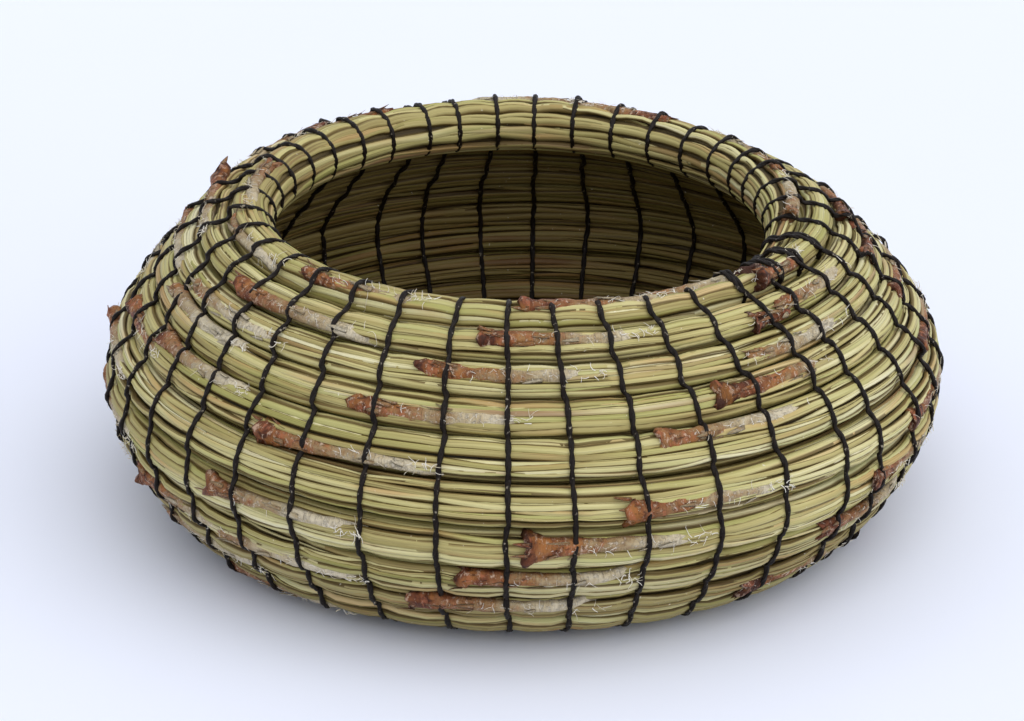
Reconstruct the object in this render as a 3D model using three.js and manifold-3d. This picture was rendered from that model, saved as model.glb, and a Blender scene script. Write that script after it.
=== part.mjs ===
// Pine needle basket: one long coil of bundled needles, wound round and round from the
// middle of the base to the rim and held by rows of dark thread stitches.
// Millimetres, +Z up, the floor at z = 0, the front of the basket towards -Y.
import * as THREE from "three";
import { mergeVertices } from "three/addons/utils/BufferGeometryUtils.js";
import Module from "manifold-3d";

const wasm = await Module();
wasm.setup();

const fullTurn = 2 * Math.PI;
const fullCircle = 360;

// Driving sizes.
const beltRadius = 66;
const rimRowHeight = 48.75;
const coilThickness = 7.94;
const rimThickness = 8.8;
const rowGap = 0.62;
const threadWidth = 0.95;
const threadSeat = 0.34;
const stitchSpacing = 10.9;

// Shares that give the smaller sizes.
const threadHeightShare = 0.86;
const seatAlongShare = 1.2;
const sheathHeadShare = 0.42;
const sheathTipShare = 0.36;
const sheathNeckShare = 0.3;
const sheathEndShare = 0.24;
const sheathSinkShare = 0.06;
const grooveOuterShare = 0.9;
const grooveInnerShare = 0.36;
const floorBlockShare = 3;

// Sizes that follow from the ones above.
const threadHeight = threadWidth * threadHeightShare;
const seatAlong = threadSeat * seatAlongShare;
const grooveWidth = threadWidth + 2 * threadSeat;
const footRunHeight = threadHeight + threadSeat / 2;
const grooveTop = footRunHeight + threadSeat;
const grooveOuterEnd = beltRadius * grooveOuterShare;
const grooveInnerEnd = beltRadius * grooveInnerShare;
const floorBlockWidth = beltRadius * floorBlockShare;
const sheathHeadWidth = coilThickness * sheathHeadShare;
const sheathTipWidth = coilThickness * sheathTipShare;
const sheathNeckWidth = coilThickness * sheathNeckShare;
const sheathEndWidth = coilThickness * sheathEndShare;
const sheathSink = coilThickness * sheathSinkShare;

// The middle of the coil, read at the front of the basket once per turn. A turn is a
// full round of the coil: turn 0 is the front of the rim row, turn 6 the widest row,
// turn 11 the row that the basket stands on, and the last ones lie in the base, where
// they close in on the axis.
const firstListedTurns = -1;
const rowRadiusShares = [
  0.63, 0.713, 0.775, 0.827, 0.881, 0.94, 0.992, 1, 0.973, 0.934, 0.883, 0.808,
  0.718, 0.624, 0.53, 0.436, 0.342, 0.248, 0.155, 0.068, 0.018, 0.004,
];
const rowHeightShares = [
  1.017, 1, 0.956, 0.881, 0.789, 0.689, 0.573, 0.447, 0.333, 0.235, 0.147, 0.092,
  0.066, 0.085, 0.108, 0.129, 0.147, 0.16, 0.168, 0.172, 0.173, 0.173,
];

// Where the coil begins and ends, in turns.
const stepsPerTurn = 24;
const tailTurns = -0.889;
const tailFullTurns = -0.7;
const middleTurns = 19.05;
const freeEdgeTurns = 0;
const freeEdgeEndTurns = 2 / stepsPerTurn;
const rimEndTurns = 8 / stepsPerTurn;
const halfTurns = 0.5;
const smallTurns = 0.02;

// How the section of the coil is shaped, as shares of its half thickness.
const flankShare = 0.55;
const freeEdgeShare = 0.95;
const tailTipShare = 0.3;

// The lines of stitches round the basket, evenly spaced round its belt.
const stitchLines = Math.round(fullTurn * beltRadius / stitchSpacing);
const firstLineAzimuth = -2;
const footStopTurns = 11.4;
const middleStopTurns = 15.6;
const innerStopTurns = 17.2;
const lastValleyTurns = 10.4;
const finishingAfterLine = 6.22;
const finishingStopTurns = 0.6;

// Where the brown sheath ends of the needle bundles show on the outside, in turns.
const sheathTurns = [
  -0.54, -0.41, -0.13, 0.01, 0.83, 0.98, 1.11, 1.42, 1.68, 1.95, 2.93, 3.08, 3.22,
  3.77, 3.9, 4.05, 4.4, 4.75, 4.86, 5.03, 5.55, 5.87, 6, 6.12, 6.27, 6.98, 7.1,
];
const sheathSides = 5;
const sheathSpaceShare = 0.74;

function smooth(share) {
  const held = THREE.MathUtils.clamp(share, 0, 1);
  return held * held * (3 - 2 * held);
}

// The line of the coil.
const rowCurve = new THREE.CatmullRomCurve3(
  rowRadiusShares.map((radiusShare, row) => new THREE.Vector3(
    beltRadius * radiusShare,
    rimRowHeight * rowHeightShares[row],
    0,
  )),
  false,
  "catmullrom",
);

// Middle of the coil at a turn, as (distance from the axis, height).
function rowMiddle(turn) {
  const share = (turn - firstListedTurns) / (rowRadiusShares.length - 1);
  const point = rowCurve.getPoint(THREE.MathUtils.clamp(share, 0, 1));
  return new THREE.Vector2(point.x, point.y);
}

// Direction from one row to the next: down the wall, then inwards over the base.
function downWall(turn) {
  const before = Math.max(turn - smallTurns, firstListedTurns);
  return rowMiddle(turn + smallTurns).sub(rowMiddle(before)).normalize();
}

function outOfWall(turn) {
  const down = downWall(turn);
  return new THREE.Vector2(-down.y, down.x);
}

function along(point, direction, distance) {
  return point.clone().addScaledVector(direction, distance);
}

// Six corners of the coil's section: outer crest, two at the row below, inner crest, two
// at the row above. Neighbouring rows meet in parallel flats with a thin gap between.
function sectionCorners(turn) {
  const rimShare = 1 - smooth((turn - freeEdgeEndTurns) / (rimEndTurns - freeEdgeEndTurns));
  const half = THREE.MathUtils.lerp(coilThickness, rimThickness, rimShare) / 2;
  const flank = half * flankShare;
  const middle = rowMiddle(turn);
  const out = outOfWall(turn);

  const belowTurn = turn + halfTurns;
  const belowOut = outOfWall(belowTurn);
  const below = along(rowMiddle(belowTurn), downWall(belowTurn), -rowGap / 2);

  const freeShare = 1 - smooth((turn - freeEdgeTurns) / (freeEdgeEndTurns - freeEdgeTurns));
  const aboveTurn = Math.max(turn - halfTurns, firstListedTurns);
  const joined = along(rowMiddle(aboveTurn), downWall(aboveTurn), rowGap / 2);
  const free = along(middle, downWall(turn), -half * freeEdgeShare);
  const above = joined.lerp(free, freeShare);
  const aboveOut = outOfWall(aboveTurn).lerp(out, freeShare).normalize();

  const corners = [
    along(middle, out, half),
    along(below, belowOut, flank),
    along(below, belowOut, -flank),
    along(middle, out, -half),
    along(above, aboveOut, -flank),
    along(above, aboveOut, flank),
  ];
  const tailShare = smooth((turn - tailTurns) / (tailFullTurns - tailTurns));
  const size = THREE.MathUtils.lerp(tailTipShare, 1, tailShare);
  return corners.map((corner) => below.clone().lerp(corner, size));
}

// A point of a section, turned to its place round the axis.
function roundAxis(point, turn) {
  const angle = turn * fullTurn;
  return new THREE.Vector3(
    point.x * Math.sin(angle),
    -point.x * Math.cos(angle),
    point.y,
  );
}

// Closed tube through rings of equally many points, with a flat face at either end.
function tubeThrough(rings) {
  const sides = rings[0].length;
  const positions = rings.flatMap((ring) => ring.flatMap((point) => point.toArray()));
  const faces = [];
  for (let ring = 0; ring + 1 < rings.length; ring += 1) {
    for (let side = 0; side < sides; side += 1) {
      const here = ring * sides + side;
      const beside = ring * sides + (side + 1) % sides;
      faces.push(here, beside, here + sides);
      faces.push(beside, beside + sides, here + sides);
    }
  }
  const last = (rings.length - 1) * sides;
  for (let side = 1; side + 1 < sides; side += 1) {
    faces.push(0, side + 1, side);
    faces.push(last, last + side, last + side + 1);
  }
  const geometry = new THREE.BufferGeometry();
  geometry.setAttribute("position", new THREE.Float32BufferAttribute(positions, 3));
  geometry.setIndex(faces);
  return geometry;
}

function solidOf(geometry) {
  const bare = geometry.clone();
  bare.deleteAttribute("normal");
  bare.deleteAttribute("uv");
  const welded = mergeVertices(bare);
  return new wasm.Manifold(new wasm.Mesh({
    numProp: 3,
    vertProperties: new Float32Array(welded.attributes.position.array),
    triVerts: new Uint32Array(welded.index.array),
  }));
}

function geometryOf(solid) {
  const mesh = solid.getMesh();
  const geometry = new THREE.BufferGeometry();
  geometry.setAttribute(
    "position",
    new THREE.Float32BufferAttribute(mesh.vertProperties, 3),
  );
  geometry.setIndex(Array.from(mesh.triVerts));
  return geometry;
}

// The coil.
const coilTurns = [tailTurns];
for (let step = Math.ceil(tailTurns * stepsPerTurn); step <= middleTurns * stepsPerTurn; step += 1) {
  coilTurns.push(step / stepsPerTurn);
}
const coilRings = coilTurns.map((turn) => (
  sectionCorners(turn).map((corner) => roundAxis(corner, turn))
));

// Least distance between points of one turn of the coil and points of the turns beside it.
function leastGapOfCoil() {
  const pointsOf = (ring) => ring.flatMap((corner, side) => [
    corner,
    corner.clone().lerp(ring[(side + 1) % ring.length], 0.5),
  ]);
  const samples = coilRings.map(pointsOf);
  let least = Infinity;
  for (let first = 0; first < samples.length; first += 1) {
    for (let other = first + 1; other < samples.length; other += 1) {
      const apart = coilTurns[other] - coilTurns[first];
      if (apart > halfTurns && apart < 3 * halfTurns) {
        for (const point of samples[first]) {
          for (const next of samples[other]) {
            least = Math.min(least, point.distanceTo(next));
          }
        }
      }
    }
  }
  return least;
}

// The corners of the faceted coil where a plane through the axis cuts it.
function facetCorners(turn) {
  const ending = coilTurns.findIndex((listed) => listed > turn);
  const after = coilTurns[ending];
  const before = coilTurns[ending - 1];
  const left = Math.sin((turn - before) * fullTurn);
  const right = Math.sin((after - turn) * fullTurn);
  const beforeCorners = sectionCorners(before);
  const afterCorners = sectionCorners(after);
  return beforeCorners.map((corner, side) => {
    const next = afterCorners[side];
    const share = corner.x * left / (corner.x * left + next.x * right);
    const start = roundAxis(corner, before);
    const point = start.lerp(roundAxis(next, after), share);
    return new THREE.Vector2(Math.hypot(point.x, point.y), point.z);
  });
}

// One row as a plane through the axis meets it.
function rowAt(turn) {
  const corners = facetCorners(turn);
  const middle = corners[0].clone().add(corners[3]).multiplyScalar(0.5);
  const out = corners[0].clone().sub(corners[3]).normalize();
  return { turn, corners, middle, out };
}

// A point of a stitch that lies on a corner of the coil, with the way out of the coil.
function seated(corner, away) {
  return { base: along(corner, away, seatAlong), away };
}

function awayFromMiddle(row, corner) {
  return seated(corner, corner.clone().sub(row.middle).normalize());
}

// A thread pulled tight over the thin tail of the coil and the row that it lies on
// touches only the outermost of their corners.
function tightOverTail(tail, row) {
  const corners = [
    row.corners[3],
    row.corners[4],
    ...[3, 4, 5, 0].map((corner) => tail.corners[corner]),
    row.corners[5],
    row.corners[0],
  ];
  const kept = [];
  for (const corner of corners) {
    while (kept.length > 1) {
      const lastLeg = kept.at(-1).clone().sub(kept.at(-2));
      const nextLeg = corner.clone().sub(kept.at(-1));
      if (lastLeg.cross(nextLeg) < 0) {
        break;
      }
      kept.pop();
    }
    kept.push(corner);
  }
  const centre = row.middle.clone().lerp(tail.middle, 0.5);
  return kept.map((corner) => seated(corner, corner.clone().sub(centre).normalize()));
}

// Where a stitch line dips under the foot it runs level, inside the coil's groove, or
// ends there if it goes no further in.
function levelUnderFoot(path, endsAtFoot) {
  const downwards = new THREE.Vector2(0, -1);
  const lowFirst = path.findIndex(({ base }) => base.y < footRunHeight);
  if (lowFirst < 0) {
    return path;
  }
  const crossing = (high, low) => {
    const share = (high.base.y - footRunHeight) / (high.base.y - low.base.y);
    return { base: high.base.clone().lerp(low.base, share), away: downwards };
  };
  let lowLast = lowFirst;
  for (let place = lowFirst; place < path.length; place += 1) {
    if (path[place].base.y < footRunHeight) {
      lowLast = place;
    }
  }
  const start = crossing(path[lowFirst - 1], path[lowFirst]);
  if (endsAtFoot) {
    return [...path.slice(0, lowFirst), { base: start.base, away: path[lowFirst - 1].away }];
  }
  const ending = lowLast + 1 < path.length
    ? crossing(path[lowLast + 1], path[lowLast])
    : { base: new THREE.Vector2(path[lowLast].base.x, footRunHeight), away: downwards };
  return [...path.slice(0, lowFirst), start, ending, ...path.slice(lowLast + 1)];
}

// The dip between two rows on the outside, where a stitch is pulled into the coil.
function dipBetween(above, below) {
  const dip = above.corners[1].clone().lerp(below.corners[5], 0.5);
  return seated(dip, above.out.clone().add(below.out).normalize());
}

// The way of one line of stitches: up the inside, over the rim, down the outside and
// under the base, as points on the thread's inner face with the way out of the coil.
function stitchPath(azimuth, stopTurn) {
  const round = azimuth / fullCircle;
  const rows = [];
  for (let count = firstListedTurns; count + round <= stopTurn; count += 1) {
    if (count + round > tailTurns) {
      rows.push(rowAt(count + round));
    }
  }
  const [rim, ...others] = rows;
  const tailHere = rim.turn < tailFullTurns;
  const inside = others
    .filter((row, place) => row.turn > lastValleyTurns || place % 2 === 1)
    .map((row) => seated(row.corners[3], row.out.clone().negate()))
    .reverse();
  const overRim = tailHere ? tightOverTail(rim, others[0]) : [
    seated(rim.corners[3], rim.out.clone().negate()),
    awayFromMiddle(rim, rim.corners[4]),
    awayFromMiddle(rim, rim.corners[5]),
    seated(rim.corners[0], rim.out),
  ];
  const outside = others.flatMap((row, place) => {
    const crest = seated(row.corners[0], row.out);
    if (tailHere && place === 0) {
      return [];
    }
    if (row.turn > lastValleyTurns) {
      return [crest];
    }
    return [dipBetween(rows[place], row), crest];
  });
  return levelUnderFoot([...inside, ...overRim, ...outside], stopTurn <= footStopTurns);
}

// The finishing stitch ties the tail of the coil to the rim row under it and ends in the
// dip below that row.
function finishingPath(azimuth) {
  const round = azimuth / fullCircle;
  return [
    ...stitchPath(azimuth, finishingStopTurns),
    dipBetween(rowAt(round), rowAt(round + 1)),
  ];
}

// A thread with three sides, its flat one towards the coil.
function threadAlong(path, azimuth) {
  const turn = azimuth / fullCircle;
  const angle = turn * fullTurn;
  const sideways = new THREE.Vector3(Math.cos(angle), Math.sin(angle), 0);
  return tubeThrough(path.map(({ base, away }) => {
    const foot = roundAxis(base, turn);
    const top = roundAxis(along(base, away, threadHeight), turn);
    return [
      foot.clone().addScaledVector(sideways, -threadWidth / 2),
      foot.clone().addScaledVector(sideways, threadWidth / 2),
      top,
    ];
  }));
}

function lineAzimuth(line) {
  return firstLineAzimuth + line * fullCircle / stitchLines;
}

// Every second line begins at the foot. The others begin in the base, half of them
// nearly at its middle.
function lineStop(line) {
  if (line % 2 === 1) {
    return footStopTurns;
  }
  return line % 4 === 2 ? middleStopTurns : innerStopTurns;
}

// Brown end of a needle bundle on the crest of its row, between two lines of stitches.
function sheathEnd(turn) {
  const lineBefore = Math.floor((turn * fullCircle - firstLineAzimuth) * stitchLines / fullCircle);
  const middleOfSheath = lineAzimuth(lineBefore + 0.5) / fullCircle;
  const reach = sheathSpaceShare / stitchLines / 2;
  const stations = [
    { shift: -reach, width: sheathTipWidth },
    { shift: -reach / 2, width: sheathHeadWidth },
    { shift: 0, width: sheathNeckWidth },
    { shift: reach, width: sheathEndWidth },
  ];
  const rings = stations.map(({ shift, width }) => {
    const row = rowAt(middleOfSheath + shift);
    const centre = along(row.corners[0], row.out, -sheathSink);
    const across = new THREE.Vector2(-row.out.y, row.out.x);
    const ring = [];
    for (let side = 0; side < sheathSides; side += 1) {
      const angle = side * fullTurn / sheathSides;
      const lifted = along(centre, row.out, Math.cos(angle) * width / 2);
      const placed = along(lifted, across, -Math.sin(angle) * width / 2);
      ring.push(roundAxis(placed, row.turn));
    }
    return ring;
  });
  return tubeThrough(rings);
}

// What is taken off below the floor, so that the lowest rows stand on a flat ring.
function belowFloor() {
  const block = new THREE.BoxGeometry(floorBlockWidth, floorBlockWidth, rimRowHeight);
  block.translate(0, 0, -rimRowHeight / 2);
  return block;
}

// Groove that lets one line of stitches pass under the foot.
function footGroove(azimuth) {
  const length = grooveOuterEnd - grooveInnerEnd;
  const groove = new THREE.BoxGeometry(grooveWidth, length, 2 * grooveTop);
  groove.translate(0, -(grooveOuterEnd + grooveInnerEnd) / 2, 0);
  groove.rotateZ(THREE.MathUtils.degToRad(azimuth));
  return groove;
}

// The basket.
const needleFinish = { color: 0xaaa063, roughness: 0.78, metalness: 0 };
const threadFinish = { color: 0x211a15, roughness: 0.6, metalness: 0 };

function piece(name, geometry, finish) {
  geometry.computeVertexNormals();
  const mesh = new THREE.Mesh(geometry, new THREE.MeshStandardMaterial(finish));
  mesh.name = name;
  return mesh;
}

const basket = new THREE.Group();
basket.name = "pine_needle_basket";

let coil = solidOf(tubeThrough(coilRings));
for (const turn of sheathTurns) {
  coil = coil.add(solidOf(sheathEnd(turn)));
}
for (let line = 0; line < stitchLines; line += 2) {
  coil = coil.subtract(solidOf(footGroove(lineAzimuth(line))));
}
coil = coil.subtract(solidOf(belowFloor()));
basket.add(piece("needle_coil", geometryOf(coil), needleFinish));

for (let line = 0; line < stitchLines; line += 1) {
  const azimuth = lineAzimuth(line);
  const thread = threadAlong(stitchPath(azimuth, lineStop(line)), azimuth);
  const number = String(line + 1).padStart(2, "0");
  basket.add(piece(`stitch_line_${number}`, thread, threadFinish));
}

const finishingAzimuth = lineAzimuth(finishingAfterLine);
basket.add(piece(
  "finishing_stitch",
  threadAlong(finishingPath(finishingAzimuth), finishingAzimuth),
  threadFinish,
));

console.log(`least gap of the coil to itself: ${leastGapOfCoil().toFixed(2)} mm`);

export default basket;
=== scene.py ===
"""Pine needle basket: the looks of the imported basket.

One long coil of dried pine needles is wound from the middle of the base to the rim
and sewn row by row with dark waxed thread. Brown sheath ends of the needle bundles
show on the outside. Everything is in metres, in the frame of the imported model.
"""

from __future__ import annotations

import logging
import math
import random
from dataclasses import dataclass
from enum import Enum

import bmesh
import bpy
import numpy as np
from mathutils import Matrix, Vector, noise

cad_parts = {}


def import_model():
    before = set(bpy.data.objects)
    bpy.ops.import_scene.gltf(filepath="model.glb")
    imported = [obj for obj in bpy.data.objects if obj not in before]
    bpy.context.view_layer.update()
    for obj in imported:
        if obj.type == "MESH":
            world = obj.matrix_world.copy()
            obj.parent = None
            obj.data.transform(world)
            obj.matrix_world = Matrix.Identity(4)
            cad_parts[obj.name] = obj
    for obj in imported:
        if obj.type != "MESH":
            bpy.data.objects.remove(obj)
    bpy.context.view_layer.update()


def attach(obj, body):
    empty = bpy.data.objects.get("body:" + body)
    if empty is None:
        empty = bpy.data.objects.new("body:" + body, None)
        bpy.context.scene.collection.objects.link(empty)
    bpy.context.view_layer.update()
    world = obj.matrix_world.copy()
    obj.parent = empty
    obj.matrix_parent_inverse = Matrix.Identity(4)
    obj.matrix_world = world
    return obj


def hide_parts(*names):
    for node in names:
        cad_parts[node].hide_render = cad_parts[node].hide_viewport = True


logging.basicConfig(level=logging.INFO, format="%(levelname)s %(message)s")
LOG = logging.getLogger("pine_needle_basket")

MM = 0.001
FLOOR_CLEARANCE = 0.02 * MM
FLOOR_EASE = 0.18 * MM
FULL_TURN = 2.0 * math.pi

Socket = bpy.types.NodeSocket
Colour = tuple[float, float, float, float]
Stops = tuple[tuple[float, Colour], ...]


def smooth(share: np.ndarray | float) -> np.ndarray | float:
    """Ease a share from 0 to 1.

    Args:
        share: The plain share, which may lie outside 0 to 1.

    Returns:
        The eased share, held between 0 and 1.
    """
    held = np.clip(share, 0.0, 1.0)
    return held * held * (3.0 - 2.0 * held)


def above_floor(height: np.ndarray) -> np.ndarray:
    """Ease heights near the floor, so that nothing reaches through it.

    Args:
        height: The heights, some of which may lie below the floor.

    Returns:
        The heights, all above the floor and in the same order.
    """
    low = FLOOR_CLEARANCE + FLOOR_EASE
    eased = FLOOR_CLEARANCE + FLOOR_EASE * np.exp((np.minimum(height, low) - low) / FLOOR_EASE)
    return np.where(height < low, eased, height)


def with_ends(knots: np.ndarray) -> np.ndarray:
    """Add a knot before the first and one after the last, straight on from them."""
    return np.vstack([2.0 * knots[0] - knots[1], knots, 2.0 * knots[-1] - knots[-2]])


def through_knots(knots: list[np.ndarray], share: np.ndarray) -> np.ndarray:
    """Draw a smooth curve between the middle two of four knots.

    Args:
        knots: The four knots, or four arrays of them.
        share: How far along the curve, from 0 to 1.

    Returns:
        The points of the curve.
    """
    p0, p1, p2, p3 = knots
    return 0.5 * (
        2.0 * p1
        + (p2 - p0) * share
        + (2.0 * p0 - 5.0 * p1 + 4.0 * p2 - p3) * share**2
        + (3.0 * p1 - p0 - 3.0 * p2 + p3) * share**3
    )


def length_along(points: np.ndarray) -> np.ndarray:
    """Give the length of a path up to each of its points."""
    steps = np.linalg.norm(np.diff(points, axis=0), axis=1)
    return np.concatenate([[0.0], np.cumsum(steps)])


def points_of(mesh: bpy.types.Mesh) -> np.ndarray:
    """Read a mesh's points.

    Args:
        mesh: The mesh.

    Returns:
        The points as rows of three numbers.
    """
    flat = np.zeros(len(mesh.vertices) * 3)
    mesh.vertices.foreach_get("co", flat)
    return flat.reshape(-1, 3)


def in_scene(name: str, data: bpy.types.ID) -> bpy.types.Object:
    """Make an object and link it to the scene.

    Args:
        name: The object's name.
        data: Its mesh, curve, lamp or camera.

    Returns:
        The new object.
    """
    made = bpy.data.objects.new(name, data)
    bpy.context.scene.collection.objects.link(made)
    return made


# the path of the coil
@dataclass(frozen=True)
class CoilLine:
    """The middle line of the coil, read at the front of the basket once per turn."""

    belt_radius: float = 66.0 * MM
    rim_row_height: float = 48.75 * MM
    half_thickness: float = 3.97 * MM
    rim_half_thickness: float = 4.4 * MM
    wall_squareness: float = 5.2
    rim_squareness: float = 2.5
    first_listed_turn: int = -1
    tail_turn: float = -0.889
    tail_full_turn: float = -0.7
    middle_turn: float = 19.05
    tip_share: float = 0.22
    rim_end_turn: float = 0.06
    rim_end_span: float = 0.25
    free_span: float = 0.09
    free_reach_share: float = 0.97
    least_radius: float = 9.0 * MM
    drop: float = 2.2 * MM
    drop_azimuth: float = 130.0
    drop_width: float = 38.0
    drop_rows: tuple[float, ...] = (-1.3, -0.64, -0.14, 0.36, 1.6, 3.2, 4.6)
    drop_shares: tuple[float, ...] = (0.2, 0.35, 0.7, 1.0, 1.1, 0.4, 0.0)
    usual_row: float = 8.0 * MM
    radius_shares: tuple[float, ...] = (
        0.63, 0.713, 0.775, 0.827, 0.881, 0.94, 0.992, 1.0, 0.973, 0.934, 0.883, 0.808,
        0.718, 0.624, 0.53, 0.436, 0.342, 0.248, 0.155, 0.068, 0.018, 0.004,
    )
    height_shares: tuple[float, ...] = (
        1.017, 1.0, 0.956, 0.881, 0.789, 0.689, 0.573, 0.447, 0.333, 0.235, 0.147, 0.092,
        0.066, 0.085, 0.108, 0.129, 0.147, 0.16, 0.168, 0.172, 0.173, 0.173,
    )

    def middle(self, turn: np.ndarray) -> np.ndarray:
        """Find the middle of the coil.

        Args:
            turn: Turns along the coil, 0 at the front of the rim row.

        Returns:
            Pairs of distance from the axis and height above the floor.
        """
        before_last = len(self.radius_shares) - 1.001
        places = np.clip(np.asarray(turn, float) - self.first_listed_turn, 0.0, before_last)
        start = np.floor(places).astype(int)
        knots = with_ends(np.column_stack([
            np.array(self.radius_shares) * self.belt_radius,
            np.array(self.height_shares) * self.rim_row_height,
        ]))
        return through_knots(
            [knots[start + step] for step in range(4)], (places - start)[..., None]
        )

    def radius(self, turn: float) -> float:
        """Give the coil's distance from the axis at one turn."""
        return float(self.middle(np.array([turn]))[0, 0])

    def turns(self, length: float | np.ndarray, turn: float) -> float | np.ndarray:
        """Turn a length along the coil, near one turn, into turns."""
        return length / (FULL_TURN * max(self.radius(turn), self.least_radius))

    def settled(self, turn: np.ndarray, downward: np.ndarray) -> np.ndarray:
        """Give how far a place has settled, which the shoulder has at the back right.

        Args:
            turn: Turns along the coil.
            downward: Distance along the wall from the middle of the coil.

        Returns:
            The distance that the place lies lower.
        """
        azimuth = np.mod(turn, 1.0) * 360.0
        near = np.exp(-(((azimuth - self.drop_azimuth) / self.drop_width) ** 2))
        row = turn + np.asarray(downward) / self.usual_row
        return self.drop * near * np.interp(row, self.drop_rows, self.drop_shares)

    def down(self, turn: np.ndarray) -> np.ndarray:
        """Find the way from one row to the next.

        Args:
            turn: Turns along the coil.

        Returns:
            The way as unit pairs.
        """
        step = 0.02
        turn = np.asarray(turn, float)
        way = self.middle(turn + step) - self.middle(np.maximum(turn - step, self.first_listed_turn))
        return way / np.linalg.norm(way, axis=-1, keepdims=True)

    def out(self, turn: np.ndarray) -> np.ndarray:
        """Find the way out of the wall, as unit pairs."""
        down = self.down(turn)
        return np.stack([-down[..., 1], down[..., 0]], axis=-1)

    def rim_share(self, turn: np.ndarray) -> np.ndarray:
        """Say how far a place belongs to the last, free turn at the rim."""
        past = np.asarray(turn, float) - self.rim_end_turn
        return 1.0 - smooth(past / self.rim_end_span)

    def thickness(self, turn: np.ndarray) -> np.ndarray:
        """Give half the coil's thickness through the wall."""
        rim = self.rim_share(turn)
        return self.half_thickness + (self.rim_half_thickness - self.half_thickness) * rim

    def reach(self, turn: np.ndarray) -> tuple[np.ndarray, np.ndarray]:
        """Find how far the coil reaches along the wall.

        Args:
            turn: Turns along the coil.

        Returns:
            The reach towards the row above and towards the row below.
        """
        turn = np.asarray(turn, float)
        here = self.middle(turn)
        below = np.linalg.norm(self.middle(turn + 0.5) - here, axis=-1)
        above = np.linalg.norm(
            self.middle(np.maximum(turn - 0.5, self.first_listed_turn)) - here, axis=-1
        )
        free = 1.0 - smooth(turn / self.free_span)
        above = above * (1.0 - free) + self.thickness(turn) * self.free_reach_share * free
        return above, below

    def squareness(self, turn: np.ndarray) -> np.ndarray:
        """Give how square the coil's section is: 2 is an ellipse, and more is squarer."""
        return self.wall_squareness + self.rim_share(turn) * (
            self.rim_squareness - self.wall_squareness
        )

    def tail_share(self, turn: np.ndarray) -> np.ndarray:
        """Say how full the coil is near its tail.

        Args:
            turn: Turns along the coil.

        Returns:
            The share of the full size, least at the thin tip.
        """
        span = self.tail_full_turn - self.tail_turn
        full = smooth((np.asarray(turn, float) - self.tail_turn) / span)
        return self.tip_share + (1.0 - self.tip_share) * full

    def place(
        self, turn: np.ndarray, outward: np.ndarray, downward: np.ndarray
    ) -> np.ndarray:
        """Place points that are given across the coil.

        Args:
            turn: Turns along the coil.
            outward: Distance out of the wall from the middle of the coil.
            downward: Distance along the wall towards the next row.

        Returns:
            The points in space.
        """
        turn = np.asarray(turn, float)
        flat = self.middle(turn)
        flat = flat + self.out(turn) * np.asarray(outward)[..., None]
        flat = flat + self.down(turn) * np.asarray(downward)[..., None]
        flat[..., 1] -= self.settled(turn, downward)
        return self.round_axis(flat, turn)

    @staticmethod
    def round_axis(flat: np.ndarray, turn: np.ndarray) -> np.ndarray:
        """Turn pairs of radius and height to their place round the axis.

        Args:
            flat: The pairs.
            turn: Turns along the coil.

        Returns:
            The places in space.
        """
        angle = np.asarray(turn, float) * FULL_TURN
        return np.stack(
            [flat[..., 0] * np.sin(angle), -flat[..., 0] * np.cos(angle), flat[..., 1]],
            axis=-1,
        )

    def outward_in_space(self, turn: np.ndarray) -> np.ndarray:
        """Give the way out of the wall as unit vectors in space."""
        return self.round_axis(self.out(turn), turn)


# strands and how they become meshes
@dataclass
class Strand:
    """One long thin piece: the points it follows, its half widths and its colour."""

    points: np.ndarray
    widths: np.ndarray
    outward: np.ndarray
    tone: float
    flatness: float | np.ndarray = 1.0
    kind: float = 0.0
    # painted shade: how far the colour is darkened where shade falls, 0 for none
    painted_shade: float | np.ndarray = 0.0


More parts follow.
